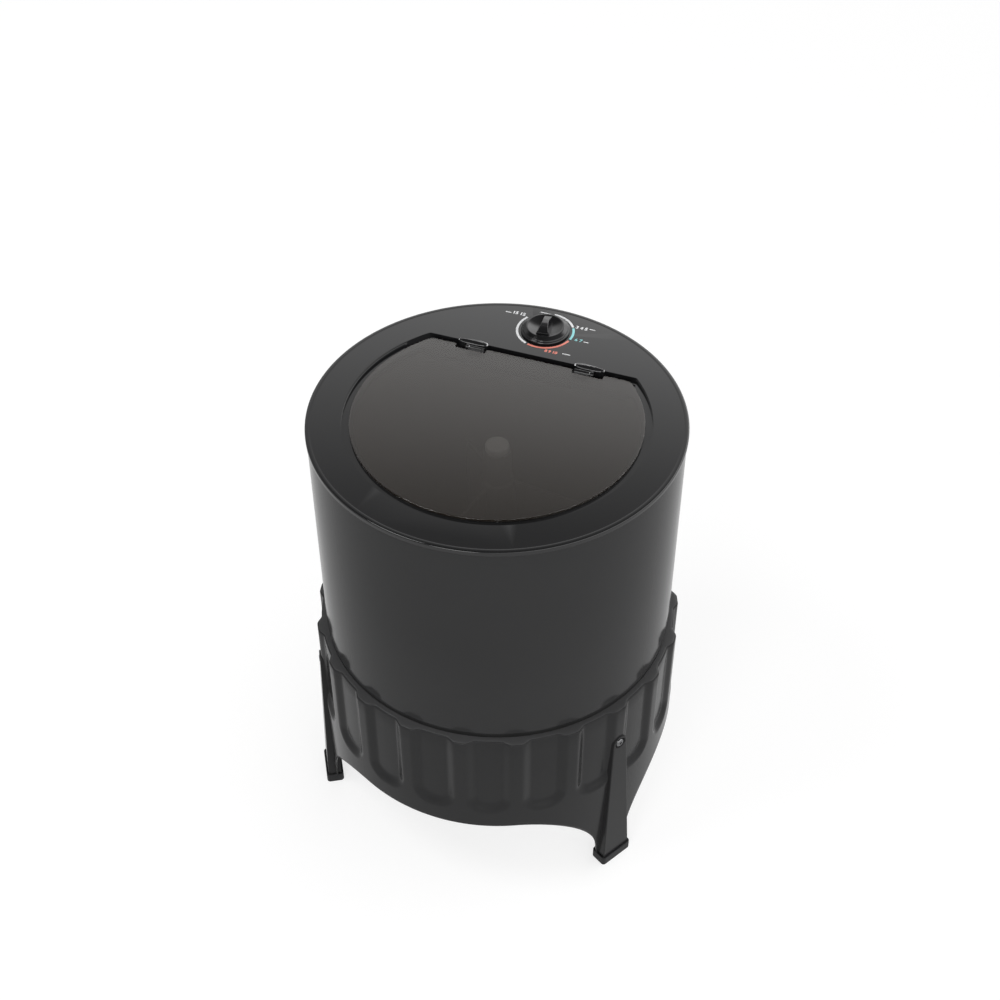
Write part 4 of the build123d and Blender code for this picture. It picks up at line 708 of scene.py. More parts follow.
@dataclass
class Base:
    """Fluted base moulding with three arches, its legs, boots and leg screws."""

    flutes: int = 21
    flute_depth: float = 7 * MM
    flute_half_width: float = 26 * MM
    flute_foot: float = 193 * MM
    flute_corner: float = 22 * MM
    flute_ease: float = 8 * MM
    arch_height: float = 155 * MM
    arch_flat: float = 115 * MM
    arch_shoulder: float = 103 * MM
    arch_spring: float = 25 * MM
    wall: float = 3 * MM
    edge: float = 3.0 * MM
    ledge_rise: float = 0.15 * MM
    ledge_inner: float = 238 * MM
    ledge_skin: float = 0.2 * MM
    leg_angles: tuple[float, ...] = (60.0, 180.0, 300.0)
    column_shares: tuple[float, ...] = (
        0, 0.15, 0.30, 0.39, *(0.44 + 0.0325 * i for i in range(13)), 0.91
    )
    leg_columns: int = 18
    leg_column_start: float = 5.5
    leg_column_step: float = 0.6
    least_step: float = 0.14
    lower_rows: int = 14
    flute_rows: int = 20
    flute_row_height: float = 2.4 * MM
    flute_row_start: float = 1.5
    upper_rows: int = 5
    edge_turns: tuple[float, ...] = (22, 45, 68, 90)
    ledge_shares: tuple[float, ...] = (0.12, 0.5, 1.0)

    def build(self) -> None:
        """Builds the moulding, the legs, the boots and the screws."""
        self.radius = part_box("skirt_right")[1].x
        self.foot = node_foot("skirt_front")
        self.top = node_top("skirt_front") + self.ledge_rise
        nodes = ("skirt_front", "skirt_right", "skirt_left")
        wall = self.fluted_wall()
        piece = make_piece("fluted_base", wall, BASE_GLOSS, Place.CABINET, nodes, even=False)
        # The ledge's faces take this lighter material, painted sheen on the top of the moulding.
        piece.data.materials.append(LEDGE_SATIN_PAINTED_SHEEN.material())
        for face in piece.data.polygons:
            if face.center.z > self.top - self.ledge_skin:
                face.material_index = 1
        shell = piece.modifiers.new("wall", "SOLIDIFY")
        shell.thickness = self.wall
        shell.offset = -1
        legs = [Leg(angle) for angle in self.leg_angles]
        for name, shape, finish, node in (
            ("leg_shanks", Leg.shank, BASE_GLOSS, "base_legs"),
            ("leg_boots", Leg.boot, FOOT_RUBBER, "rubber_feet"),
            ("leg_screw_heads", Leg.screw, DARK_STEEL, "leg_screws"),
        ):
            mesh = merged([shape(leg) for leg in legs])
            make_piece(name, mesh, finish, Place.CABINET, (node,))

    def lower_edge(self, angle: float) -> float:
        """Height of the arches' edge at an angle from the front."""
        span = abs((angle + 60) % 120 - 60)
        across = self.radius * sin(radians(span))
        if across <= self.arch_flat:
            return self.arch_height
        share = (across - self.arch_flat) / self.arch_shoulder
        if share >= 1:
            return self.foot
        return self.arch_spring + (self.arch_height - self.arch_spring) * sqrt(1 - share**2)

    def wall_radius(self, angle: float, height: float) -> float:
        """Radius of the fluted wall at an angle from the front and a height."""
        pitch = 360 / self.flutes
        offset = (angle + pitch / 2) % pitch - pitch / 2
        across = abs(self.radius * radians(offset))
        side = across - (self.flute_half_width - self.flute_corner)
        rise = self.flute_foot + self.flute_corner - height
        outside = hypot(max(side, 0), max(rise, 0)) + min(max(side, rise), 0) - self.flute_corner
        share = limited((self.flute_ease - outside) / (2 * self.flute_ease))
        ease = share * share * (3 - 2 * share)
        return self.radius - self.flute_depth * ease

    def wall_angles(self) -> list[float]:
        """Angles of the wall's columns, closest at the flutes' sides and the arches' ends."""
        pitch = 360 / self.flutes
        angles = set()
        for flute in range(self.flutes):
            for share in self.column_shares:
                for side in (-1, 1):
                    angles.add(round((flute + side * share / 2) * pitch % 360, 4))
        for leg in self.leg_angles:
            for side in (-1, 1):
                for step in range(self.leg_columns):
                    reach = self.leg_column_start + step * self.leg_column_step
                    angles.add(round((leg + side * reach) % 360, 4))
        ordered = sorted(angles)
        following = ordered[1:] + [ordered[0] + 360]
        return [a for a, b in zip(ordered, following) if b - a > self.least_step]

    def wall_heights(self) -> list[float]:
        """Heights of the wall's rows above the arches."""
        start = self.flute_foot - self.flute_row_start * self.flute_ease
        heights = [start + self.flute_row_height * step for step in range(self.flute_rows)]
        rest = self.top - self.edge - heights[-1]
        steps = range(1, self.upper_rows + 1)
        return heights + [heights[-1] + rest * step / self.upper_rows for step in steps]

    def fluted_wall(self) -> BMesh:
        """Wall, rounded top edge and ledge as one open sheet."""
        angles = self.wall_angles()
        heights = self.wall_heights()
        rows = self.lower_rows + len(heights) + len(self.edge_turns) + len(self.ledge_shares)
        columns = len(angles) + 1
        mesh = bmesh.new()
        bmesh.ops.create_grid(mesh, x_segments=columns - 1, y_segments=rows - 1, size=1.0)
        ordered = sorted(mesh.verts, key=lambda v: (round(v.co.y, 5), round(v.co.x, 5)))
        for column in range(columns):
            angle = angles[column % len(angles)]
            for row, point in enumerate(self.column_points(angle, heights)):
                ordered[row * columns + column].co = point
        return closed_up(mesh)

    def column_points(self, angle: float, heights: list[float]) -> list[Vector]:
        """Points of the sheet's one column, from the arches' edge to the ledge's inner edge.

        Args:
            angle: The column's angle from the front.
            heights: Heights of the rows on the wall.

        Returns:
            The points, in metres.
        """
        low = self.lower_edge(angle)
        rows = self.lower_rows
        levels = [low + (heights[0] - low) * row / rows for row in range(rows)]
        points = [polar(self.wall_radius(angle, z), angle, z) for z in levels + heights]
        rim = self.wall_radius(angle, self.top) - self.edge
        centre = self.top - self.edge
        for turn in map(radians, self.edge_turns):
            height = centre + self.edge * sin(turn)
            points.append(polar(rim + self.edge * cos(turn), angle, height))
        reach = self.ledge_inner - rim
        return points + [polar(rim + reach * share, angle, self.top) for share in self.ledge_shares]


@dataclass
class Leg:
    """One tapered leg with its boot and its screw, in its own frame: x across, y outwards."""

    angle: float
    foot_width: float = 50 * MM
    foot_outer: float = 281 * MM
    foot_inner: float = 260 * MM
    top_width: float = 25 * MM
    top_outer: float = 272.5 * MM
    boot_height: float = 17 * MM
    boot_wall: float = 3 * MM
    boot_corner: float = 5 * MM
    screw_height: float = 270 * MM
    recess_radius: float = 9 * MM
    recess_depth: float = 2.5 * MM
    screw_radius: float = 7 * MM
    screw_rise: float = 3.5 * MM
    edge: float = 1.6 * MM
    sole_drop: float = 12 * MM
    boot_edge: float = 1.2 * MM
    boot_edge_share: float = 0.3
    boot_lip: float = 0.4 * MM
    boot_gap: float = 0.1 * MM
    boot_hem: float = 2 * MM
    socket_share: float = 0.34
    socket_floor: float = 0.35
    socket_taper: float = 0.8
    socket_rim: float = 0.93
    dome_start: float = 1.25
    dome_steps: int = 8
    head_steps: int = 28
    recess_steps: int = 36
    screw_steps: int = 40
    screw_skirt: float = 0.5 * MM

    def frame(self) -> Matrix:
        """Turns the leg's own frame into the machine's."""
        return Matrix.Rotation(radians(self.angle), 4, "Z") @ Matrix.Diagonal((1, -1, 1, 1))

    def arc(self, radius: float, sweep: float, steps: int, count: int) -> list[Vector]:
        """Points round the screw's axis.

        Args:
            radius: Their distance from the axis.
            sweep: Turn of the whole arc.
            steps: Number of steps in that turn.
            count: Number of points.

        Returns:
            The points, from the side upwards.
        """
        turns = [sweep * step / steps for step in range(count)]
        return [Vector((radius * cos(t), 0, self.screw_height + radius * sin(t))) for t in turns]

    def shank(self) -> BMesh:
        """Tapered shank with a round head and a recess for the screw."""
        half, top = self.foot_width / 2, self.boot_height
        sole = top - self.sole_drop
        outline = [Vector((x, 0, z)) for x, z in ((-half, sole), (half, sole), (half, top))]
        outline += self.arc(self.top_width / 2, pi, self.head_steps, self.head_steps + 1)
        outline.append(Vector((-half, 0, top)))
        hole = self.arc(self.recess_radius, 2 * pi, self.recess_steps, self.recess_steps)
        mesh = bmesh.new()
        rim = add_loop(mesh, outline)
        mouth = add_loop(mesh, hole)
        bmesh.ops.triangle_fill(mesh, use_beauty=True, use_dissolve=False, edges=rim + mouth)
        slope = (self.top_outer - self.foot_outer) / (self.screw_height - self.boot_height)
        for vert in mesh.verts:
            vert.co.y = self.foot_outer + slope * max(vert.co.z - self.boot_height, 0)
        sides = bmesh.ops.extrude_edge_only(mesh, edges=rim)["geom"]
        for vert in verts_of(sides):
            vert.co.y = self.foot_inner
        sunk = bmesh.ops.extrude_edge_only(mesh, edges=mouth)["geom"]
        for vert in verts_of(sunk):
            vert.co.y -= self.recess_depth
        for ring in (sides, sunk):
            open_edges = [e for e in ring if isinstance(e, Edge) and e.is_boundary]
            bmesh.ops.edgeloop_fill(mesh, edges=open_edges)
        bevel(mesh, rim + mouth, self.edge, segments=3)
        mesh.transform(self.frame())
        bmesh.ops.recalc_face_normals(mesh, faces=mesh.faces)
        return mesh

    def boot(self) -> BMesh:
        """Rubber boot with rounded edges, open at the top round the leg."""
        middle = (self.foot_outer + self.foot_inner) / 2
        half_width = self.foot_width / 2 + self.boot_wall
        half_depth = (self.foot_outer - self.foot_inner) / 2 + self.boot_wall
        edge, top, wall = self.boot_edge, self.boot_height, self.boot_wall
        near = edge * self.boot_edge_share
        steps = ((edge, 0.0), (near, near), (0.0, edge), (0.0, top - edge), (near, top - near))
        lip, gap = wall - self.boot_lip, wall - self.boot_gap
        steps += ((edge, top), (lip, top), (gap, top - self.boot_hem))
        outlines = []
        for inset, height in steps:
            corner = self.boot_corner - inset
            outline = rounded_box(half_width - inset, half_depth - inset, corner, height)
            outlines.append([self.frame() @ (p + Vector((0, middle, 0))) for p in outline])
        mesh = bmesh.new()
        bridge_outlines(mesh, outlines, capped=True)
        return mesh

    def screw(self) -> BMesh:
        """Domed screw head with a shallow socket."""
        rise, radius = self.screw_rise, self.screw_radius
        socket, floor = radius * self.socket_share, rise * self.socket_floor
        taper, rim = socket * self.socket_taper, rise * self.socket_rim
        profile = [(0.0, floor), (taper, floor), (socket, rim)]
        start = socket * self.dome_start
        for step in range(self.dome_steps + 1):
            turn = pi / 2 * step / self.dome_steps
            profile.append((start + (radius - start) * sin(turn), rise * cos(turn)))
        profile.append((radius, -self.screw_skirt))
        mesh = lathe(profile, closed=False, steps=self.screw_steps)
        seat = self.top_outer - self.recess_depth
        lay = Matrix.Translation((0, seat, self.screw_height)) @ Matrix.Rotation(-pi / 2, 4, "X")
        mesh.transform(self.frame() @ lay)
        bmesh.ops.recalc_face_normals(mesh, faces=mesh.faces)
        return mesh


def rounded_box(half_width: float, half_depth: float, corner: float, height: float) -> list[Vector]:
    """Outline of a rectangle with rounded corners about the origin."""
    corner = max(corner, LEAST_CORNER)
    points = []
    for quarter, (side_x, side_y) in enumerate(((1, 1), (-1, 1), (-1, -1), (1, -1))):
        for step in range(CORNER_STEPS + 1):
            turn = (quarter + step / CORNER_STEPS) * pi / 2
            x = side_x * (half_width - corner) + corner * cos(turn)
            y = side_y * (half_depth - corner) + corner * sin(turn)
            points.append(Vector((x, y, height)))
    return points


def merged(parts: list[BMesh]) -> BMesh:
    """Copies meshes into one and frees them.

    Args:
        parts: The meshes, in order.

    Returns:
        The new mesh.
    """
    whole = bmesh.new()
    for part in parts:
        data = bpy.data.meshes.new("part")
        part.to_mesh(data)
        part.free()
        whole.from_mesh(data)
        bpy.data.meshes.remove(data)
    return whole


@dataclass
class Deck:
    """Glossy deck with its rounded rim, and the marks printed round the knob."""

    skin: float = 0.1 * MM
    rim_width: float = 6.5 * MM
    rim_round: float = 2.1 * MM
    rim_drop: float = 6.3 * MM
    ring_radius: float = 40.3 * MM
    ring_width: float = 3.3 * MM
    ink_height: float = 0.12 * MM
    dash_height: float = 1.6 * MM
    rim_crest: float = 0.8
    rim_return: float = 1.5 * MM
    rim_steps: int = 12
    arc_steps: int = 48

    def build(self) -> None:
        """Builds the deck, its rim and the marks."""
        refined_copy("deck", "top_deck", DECK_GLOSS, Place.CABINET, 0)
        make_piece("deck_rim", self.rim(), DECK_GLOSS, Place.CABINET, even=False)
        self.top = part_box("top_deck")[1].z + self.ink_height
        self.centre = knob_axis(self.top)
        arcs = (
            ("ring_left", Ink.WHITE, -155.0, -58.0),
            ("ring_front", Ink.RED, 107.0, 200.0),
            ("ring_side", Ink.BLUE, 63.5, 102.0),
            ("ring_rear", Ink.WHITE, 1.0, 60.5),
        )
        for name, ink, start, end in arcs:
            self.printed(name, ink, self.arc(start, end))
        marks = (
            ("marks_rear_left", Ink.WHITE, "15 12", 8.6, 0.35, (-48.5, 227.3)),
            ("marks_rear_right", Ink.WHITE, "3 4 5", 8.6, 0.35, (47.3, 223.8)),
            ("marks_right", Ink.BLUE, "6 7", 8.6, 0.15, (51.5, 195.2)),
            ("marks_front", Ink.RED, "8 9 10", 7.2, 0.35, (23.0, 157.2)),
        )
        for name, ink, text, size, bold, (x, y) in marks:
            middle = Vector((x * MM, y * MM, self.top))
            self.number(name, ink, text, size * MM, bold * MM, middle)
        dashes = (
            ("dash_rear_left", Ink.WHITE, (-68.5, -60.0), 225.5),
            ("dash_rear", Ink.WHITE, (-20.5, -4.0), 240.7),
            ("dash_rear_right", Ink.WHITE, (58.5, 67.0), 225.4),
            ("dash_right", Ink.WHITE, (59.5, 66.5), 194.4),
            ("dash_front", Ink.WHITE, (39.5, 51.0), 158.9),
        )
        for name, ink, (left, right), y in dashes:
            self.dash(name, ink, left * MM, right * MM, y * MM)

    def rim(self) -> BMesh:
        """Smooth rounded rim laid over the deck's outer edge."""
        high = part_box("top_deck")[1]
        radius, top = high.x + self.skin, high.z + self.skin
        crest = radius - self.rim_crest * self.rim_width
        profile = [(radius - self.rim_width, top - self.skin), (crest, top)]
        for step in range(self.rim_steps + 1):
            turn = pi / 2 * step / self.rim_steps
            across = radius - self.rim_round + self.rim_round * sin(turn)
            profile.append((across, top - self.rim_round + self.rim_round * cos(turn)))
        profile += [(radius - back, top - self.rim_drop) for back in (0, self.rim_return)]
        return lathe(profile, closed=False)

    def arc(self, start: float, end: float) -> BMesh:
        """Thin printed arc round the knob, its angles clockwise from the rear."""
        mesh = bmesh.new()
        half = self.ring_width / 2
        inner = mesh.verts.new(self.centre + Vector((0, self.ring_radius - half, 0)))
        outer = mesh.verts.new(self.centre + Vector((0, self.ring_radius + half, 0)))
        edge = mesh.edges.new((inner, outer))
        turn = Matrix.Rotation(-radians(start), 3, "Z")
        bmesh.ops.rotate(mesh, verts=[inner, outer], cent=self.centre, matrix=turn)
        geometry, sweep, steps = [inner, outer, edge], radians(end - start), self.arc_steps
        bmesh.ops.spin(
            mesh, geom=geometry, cent=self.centre, axis=(0, 0, -1), angle=sweep, steps=steps
        )
        return mesh

    def printed(self, name: str, ink: Ink, mesh: BMesh) -> None:
        """Makes a printed piece of a flat mesh, its faces turned upwards."""
        mesh.normal_update()
        bmesh.ops.reverse_faces(mesh, faces=[face for face in mesh.faces if face.normal.z < 0])
        make_piece(name, mesh, ink.finish(), Place.CABINET, even=False)

    def dash(self, name: str, ink: Ink, left: float, right: float, y: float) -> None:
        """Short printed dash."""
        mesh = bmesh.new()
        bmesh.ops.create_grid(mesh, x_segments=1, y_segments=1, size=0.5)
        bmesh.ops.scale(mesh, verts=mesh.verts, vec=(right - left, self.dash_height, 1))
        bmesh.ops.translate(mesh, verts=mesh.verts, vec=((left + right) / 2, y, self.top))
        self.printed(name, ink, mesh)

    def number(
        self, name: str, ink: Ink, text: str, size: float, bold: float, place: Vector
    ) -> None:
        """Prints numbers flat on the deck.

        Args:
            name: The piece's name.
            ink: Its ink.
            text: The numbers.
            size: Height of a line of them, in metres.
            bold: Growth of their outline, which from 0.2 mm breaks a 6.
            place: Their middle.
        """
        curve = bpy.data.curves.new(name, "FONT")
        curve.body = text
        curve.size = size
        curve.align_x = "CENTER"
        curve.align_y = "CENTER"
        curve.offset = bold
        glyph = new_object(name, curve)
        depsgraph = bpy.context.evaluated_depsgraph_get()
        data = bpy.data.meshes.new_from_object(glyph.evaluated_get(depsgraph))
        bpy.data.objects.remove(glyph)
        mesh = bmesh.new()
        mesh.from_mesh(data)
        bpy.data.meshes.remove(data)
        bmesh.ops.translate(mesh, verts=mesh.verts, vec=place)
        self.printed(name, ink, mesh)


@dataclass
class Lid:
    """Smoked sheet with a straight rear edge and two notches."""

    radius: float = 198 * MM
    corner: float = 8 * MM
    notch_inner: float = 63.5 * MM
    notch_outer: float = 108.5 * MM
    notch_front: float = 124.5 * MM
    notch_corner: float = 2.5 * MM
    edge: float = 0.6 * MM
    rim_angle: float = radians(60)
    arc_steps: int = 160
    corner_steps: int = 8

    def build(self) -> None:
        """Builds the sheet."""
        low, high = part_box("lid_panel")
        mesh = bmesh.new()
        outline = add_loop(mesh, [Vector((x, y, low.z)) for x, y in self.outline(high.y)])
        bmesh.ops.edgeloop_fill(mesh, edges=outline)
        grown = bmesh.ops.extrude_face_region(mesh, geom=mesh.faces[:])["geom"]
        bmesh.ops.translate(mesh, verts=verts_of(grown), vec=(0, 0, high.z - low.z))
        bmesh.ops.recalc_face_normals(mesh, faces=mesh.faces)
        rims = [e for e in mesh.edges if e.calc_face_angle(0) > self.rim_angle and is_level(e)]
        bevel(mesh, rims, self.edge, segments=3)
        make_piece("lid_sheet", mesh, LID_SMOKE, Place.LID, ("lid_panel",))

    def outline(self, back: float) -> Profile:
        """Corners of the sheet's outline, in order from the right rear corner.

        Args:
            back: Distance of the straight rear edge behind the axis.

        Returns:
            Pairs of x and y, in metres.
        """
        reach = sqrt((self.radius - self.corner) ** 2 - (back - self.corner) ** 2)
        lean = atan2(back - self.corner, reach)
        notched = [(reach, back)]
        for side, first, last in (
            (1, self.notch_outer, self.notch_inner),
            (-1, self.notch_inner, self.notch_outer),
        ):
            notched += [(side * first, back), (side * first, self.notch_front)]
            notched += [(side * last, self.notch_front), (side * last, back)]
        notched.append((-reach, back))
        points = soften(notched, self.notch_corner, closed=False)
        for step in range(1, self.corner_steps):
            turn = pi / 2 + (pi / 2 - lean) * step / self.corner_steps
            points.append(self.corner_point(-reach, back, turn))
        for step in range(self.arc_steps):
            turn = pi - lean + (pi + 2 * lean) * step / self.arc_steps
            points.append((self.radius * cos(turn), self.radius * sin(turn)))
        for step in range(self.corner_steps):
            turn = lean + (pi / 2 - lean) * step / self.corner_steps
            points.append(self.corner_point(reach, back, turn))
        return points

    def corner_point(self, x: float, back: float, turn: float) -> tuple[float, float]:
        """Point of one rounded rear corner."""
        return (x + self.corner * cos(turn), back - self.corner + self.corner * sin(turn))


def is_level(edge: Edge) -> bool:
    """Whether an edge lies level."""
    return abs(edge.verts[0].co.z - edge.verts[1].co.z) < MERGE_DISTANCE


@dataclass
class Hinges:
    """Oval bars behind the lid, their steel beads, and polished leaf strips on it."""

    middle_x: float = 86 * MM
    middle_y: float = 138.5 * MM
    half_length: float = 21.2 * MM
    half_depth: float = 3.7 * MM
    roundness: float = 2.5
    cap_rise: float = 1.2 * MM
    cap_lean: float = 1.0 * MM
    bead_thin: float = 0.4 * MM
    bead_thick: float = 1.4 * MM
    bead_drop: float = 0.8 * MM
    bead_inner: tuple[float, float] = (0.5, 1.6)
    bead_rear: tuple[float, float] = (0.6, 2.0)
    bead_steps: int = 8
    cap_sink: float = 1.0 * MM
    cap_edge: tuple[tuple[float, float], ...] = (
        (0.0, 1.3 * MM), (-0.3 * MM, 0.6 * MM), (-0.9 * MM, 0.2 * MM), (-1.9 * MM, 0.0)
    )
    body_edge: float = 0.5 * MM
    strip_edge: float = 1.1 * MM
    strip_size: tuple[float, float, float] = (22.5 * MM, 3.2 * MM, 2.6 * MM)
    strip_x: float = 79.7 * MM
    strip_y: float = 130.4 * MM
    strip_drop: float = 0.2 * MM
    outline_steps: int = 64

    def build(self) -> None:
        """Builds the bars, their caps and beads, the leaves and the strips."""
        refined_copy("hinge_bars", "hinge_bases", HINGE_GLOSS, Place.CABINET, self.body_edge)
        refined_copy("lid_leaves", "hinge_leaves", HINGE_GLOSS, Place.LID, self.body_edge)
        self.cap_top = node_top("hinge_bases") + self.cap_rise
        self.deck_top = node_top("top_deck")
        for name, shape, finish, place in (
            ("hinge_caps", self.cap, HINGE_GLOSS, Place.CABINET),
            ("hinge_beads", self.bead, HINGE_STEEL, Place.CABINET),
            ("leaf_strips", self.leaf_strip, HINGE_STEEL, Place.LID),
        ):
            make_piece(name, merged([shape(side) for side in (-1, 1)]), finish, place)

    def oval(self, side: int, turn: float, grow: float, height: float) -> Vector:
        """Point of the oval outline of one bar.

        Args:
            side: -1 for the left hinge, 1 for the right one.
            turn: Turn of the point round the oval, 0 at the outer end.
            grow: Distance by which the oval is widened.
            height: Height of the point.

        Returns:
            The point, in metres.
        """
        power = 2 / self.roundness
        across = abs(cos(turn)) ** power * (1 if cos(turn) > 0 else -1)
        along = abs(sin(turn)) ** power * (1 if sin(turn) > 0 else -1)
        x = side * (self.middle_x + (self.half_length + grow) * across)
        drop = self.cap_lean * (1 - along) / 2
        return Vector((x, self.middle_y + (self.half_depth + grow) * along, height - drop))

    def turns(self) -> list[float]:
        """Turns of the outline's points."""
        return [2 * pi * (step + 0.5) / self.outline_steps for step in range(self.outline_steps)]

    def cap(self, side: int) -> BMesh:
        """Oval cap over one bar, its top edge rounded."""
        levels = [(0.0, self.deck_top - self.cap_sink)]
        levels += [(grow, self.cap_top - drop) for grow, drop in self.cap_edge]
        outlines = [[self.oval(side, turn, grow, z) for turn in self.turns()] for grow, z in levels]
        mesh = bmesh.new()
        bridge_outlines(mesh, outlines, capped=True)
        return mesh

    def bead(self, side: int) -> BMesh:
        """Steel bead round one cap, thickest on the inner half of its rear."""
        middle = self.cap_top - self.bead_drop
        inner, inner_slope = self.bead_inner
        rear, rear_slope = self.bead_rear
        outlines = []
        for step in range(self.bead_steps):
            around = 2 * pi * step / self.bead_steps
            outline = []
            for turn in self.turns():
                share = limited(inner - inner_slope * cos(turn))
                share *= limited(rear + rear_slope * sin(turn))
                bead = self.bead_thin + (self.bead_thick - self.bead_thin) * share
                height = middle + bead * sin(around)
                outline.append(self.oval(side, turn, bead * cos(around), height))
            outlines.append(outline)
        mesh = bmesh.new()
        bridge_outlines(mesh, outlines + outlines[:1], capped=False)
        return closed_up(mesh)

    def leaf_strip(self, side: int) -> BMesh:
        """Polished strip with a rounded top over one knuckle."""
        mesh = bmesh.new()
        bmesh.ops.create_cube(mesh, size=1.0)
        bmesh.ops.scale(mesh, verts=mesh.verts, vec=self.strip_size)
        bevel(mesh, mesh.edges[:], self.strip_edge, segments=4)
        place = (side * self.strip_x, self.strip_y, self.deck_top - self.strip_drop)
        bmesh.ops.translate(mesh, verts=mesh.verts, vec=place)
        return mesh


@dataclass
class Knob:
    """Timer knob with a flat stepped skirt, a bowl-shaped face and a crowned grip.

    Heights are over the knob's foot; the grip's own frame runs from its front to its rear.
    """

    skirt: tuple[tuple[float, float], ...] = (
        (0.0, 0.0),
        (35.0 * MM, 0.0),
        (35.0 * MM, 2.0 * MM),
        (34.2 * MM, 3.3 * MM),
        (32.8 * MM, 4.0 * MM),
        (32.4 * MM, 5.3 * MM),
        (27.4 * MM, 8.4 * MM),
        (25.4 * MM, 8.6 * MM),
    )
    edge: float = 0.6 * MM
    bowl_depth: float = 4.4 * MM
    grip_front: float = -22 * MM
    grip_rear: float = 24 * MM
    front_half_width: float = 11.5 * MM
    rear_half_width: float = 7.5 * MM
    draft: float = 0.38
    nose_length: float = 9 * MM
    nose_drop: float = 5 * MM
    crown_start: float = -7 * MM
    crown_end: float = 9 * MM
    crown_height: float = 16.9 * MM
    front_slope: float = 0.08
    rear_slope: float = 0.42
    grip_foot: float = 3.9 * MM
    grip_turn: float = 8.0
    grip_edge: float = 1.3 * MM
    grip_cuts: int = 45
    crease: float = radians(30)
    bowl_steps: int = 16
    steps: int = 128

    def build(self) -> None:
        """Builds the body and the grip."""
        self.centre = knob_axis(node_foot("timer_knob"))
        mesh = merged([self.body(), self.grip()])
        make_piece("dial_knob", mesh, KNOB_GLOSS, Place.KNOB, ("timer_knob",))

    def body(self) -> BMesh:
        """Turned body with its steps outside and a bowl on top."""
        lip, rim = self.skirt[-1]
        outside = soften(list(self.skirt), self.edge, closed=False)
        sphere = (lip**2 + self.bowl_depth**2) / (2 * self.bowl_depth)
        widest = asin(lip / sphere)
        bowl = []
        for step in range(1, self.bowl_steps + 1):
            turn = widest * (1 - step / self.bowl_steps)
            drop = sphere * (cos(turn) - cos(widest))
            bowl.append((sphere * sin(turn), rim - drop))
        profile = [(max(r, 0.0), self.centre.z + z) for r, z in outside + bowl]
        return lathe(profile, closed=False, centre=self.centre[:2], steps=self.steps)

    def crown(self, along: float) -> float:
        """Height of the grip's top at a distance along it."""
        if along < self.crown_start:
            inside = max(self.grip_front + self.nose_length - along, 0) / self.nose_length
            nose = self.nose_drop * (1 - sqrt(max(1 - inside**2, 0)))
            return self.crown_height + self.front_slope * (along - self.crown_start) - nose
        span = self.crown_end - self.crown_start
        run = min(along, self.crown_end) - self.crown_start
        bend = (self.front_slope + self.rear_slope) / (2 * span)
        height = self.crown_height + self.front_slope * run - bend * run**2
        return height - self.rear_slope * max(along - self.crown_end, 0)

    def grip(self) -> BMesh:
        """Ridge across the bowl, wide at the front, its rear end sloped down to the rim."""
        mesh = bmesh.new()
        bmesh.ops.create_cube(mesh, size=1.0)
        lengthwise = [e for e in mesh.edges if abs(e.verts[0].co.y - e.verts[1].co.y) > 0.5]
        bmesh.ops.subdivide_edges(mesh, edges=lengthwise, cuts=self.grip_cuts, use_grid_fill=True)
        length = self.grip_rear - self.grip_front
        narrowing = self.rear_half_width - self.front_half_width
        for vert in mesh.verts:
            share = vert.co.y + 0.5
            along = self.grip_front + length * share
            height = self.crown(along) if vert.co.z > 0 else self.grip_foot
            half = self.front_half_width + narrowing * share
            half -= self.draft * (height - self.grip_foot)
            vert.co = (half if vert.co.x > 0 else -half, along, height)
        creases = [e for e in mesh.edges if e.calc_face_angle(0) > self.crease]
        bevel(mesh, creases, self.grip_edge, segments=4)
        turn = Matrix.Rotation(radians(self.grip_turn), 4, "Z")
        mesh.transform(Matrix.Translation(self.centre) @ turn)
        bmesh.ops.recalc_face_normals(mesh, faces=mesh.faces)
        return mesh


@dataclass
class Inside:
    """Pieces seen through the lid or from below."""

    def build(self) -> None:
        """Builds the agitator, its cap and the large pulley."""
        for name, node, finish, edge in (
            ("agitator_body", "agitator", AGITATOR_PLASTIC, 1.0),
            ("column_cap", "agitator_cap", CAP_PLASTIC, 0.6),
            ("drive_pulley", "large_pulley", CAST_ALUMINIUM, 0.4),
        ):
            refined_copy(name, node, finish, Place.AGITATOR, edge * MM)


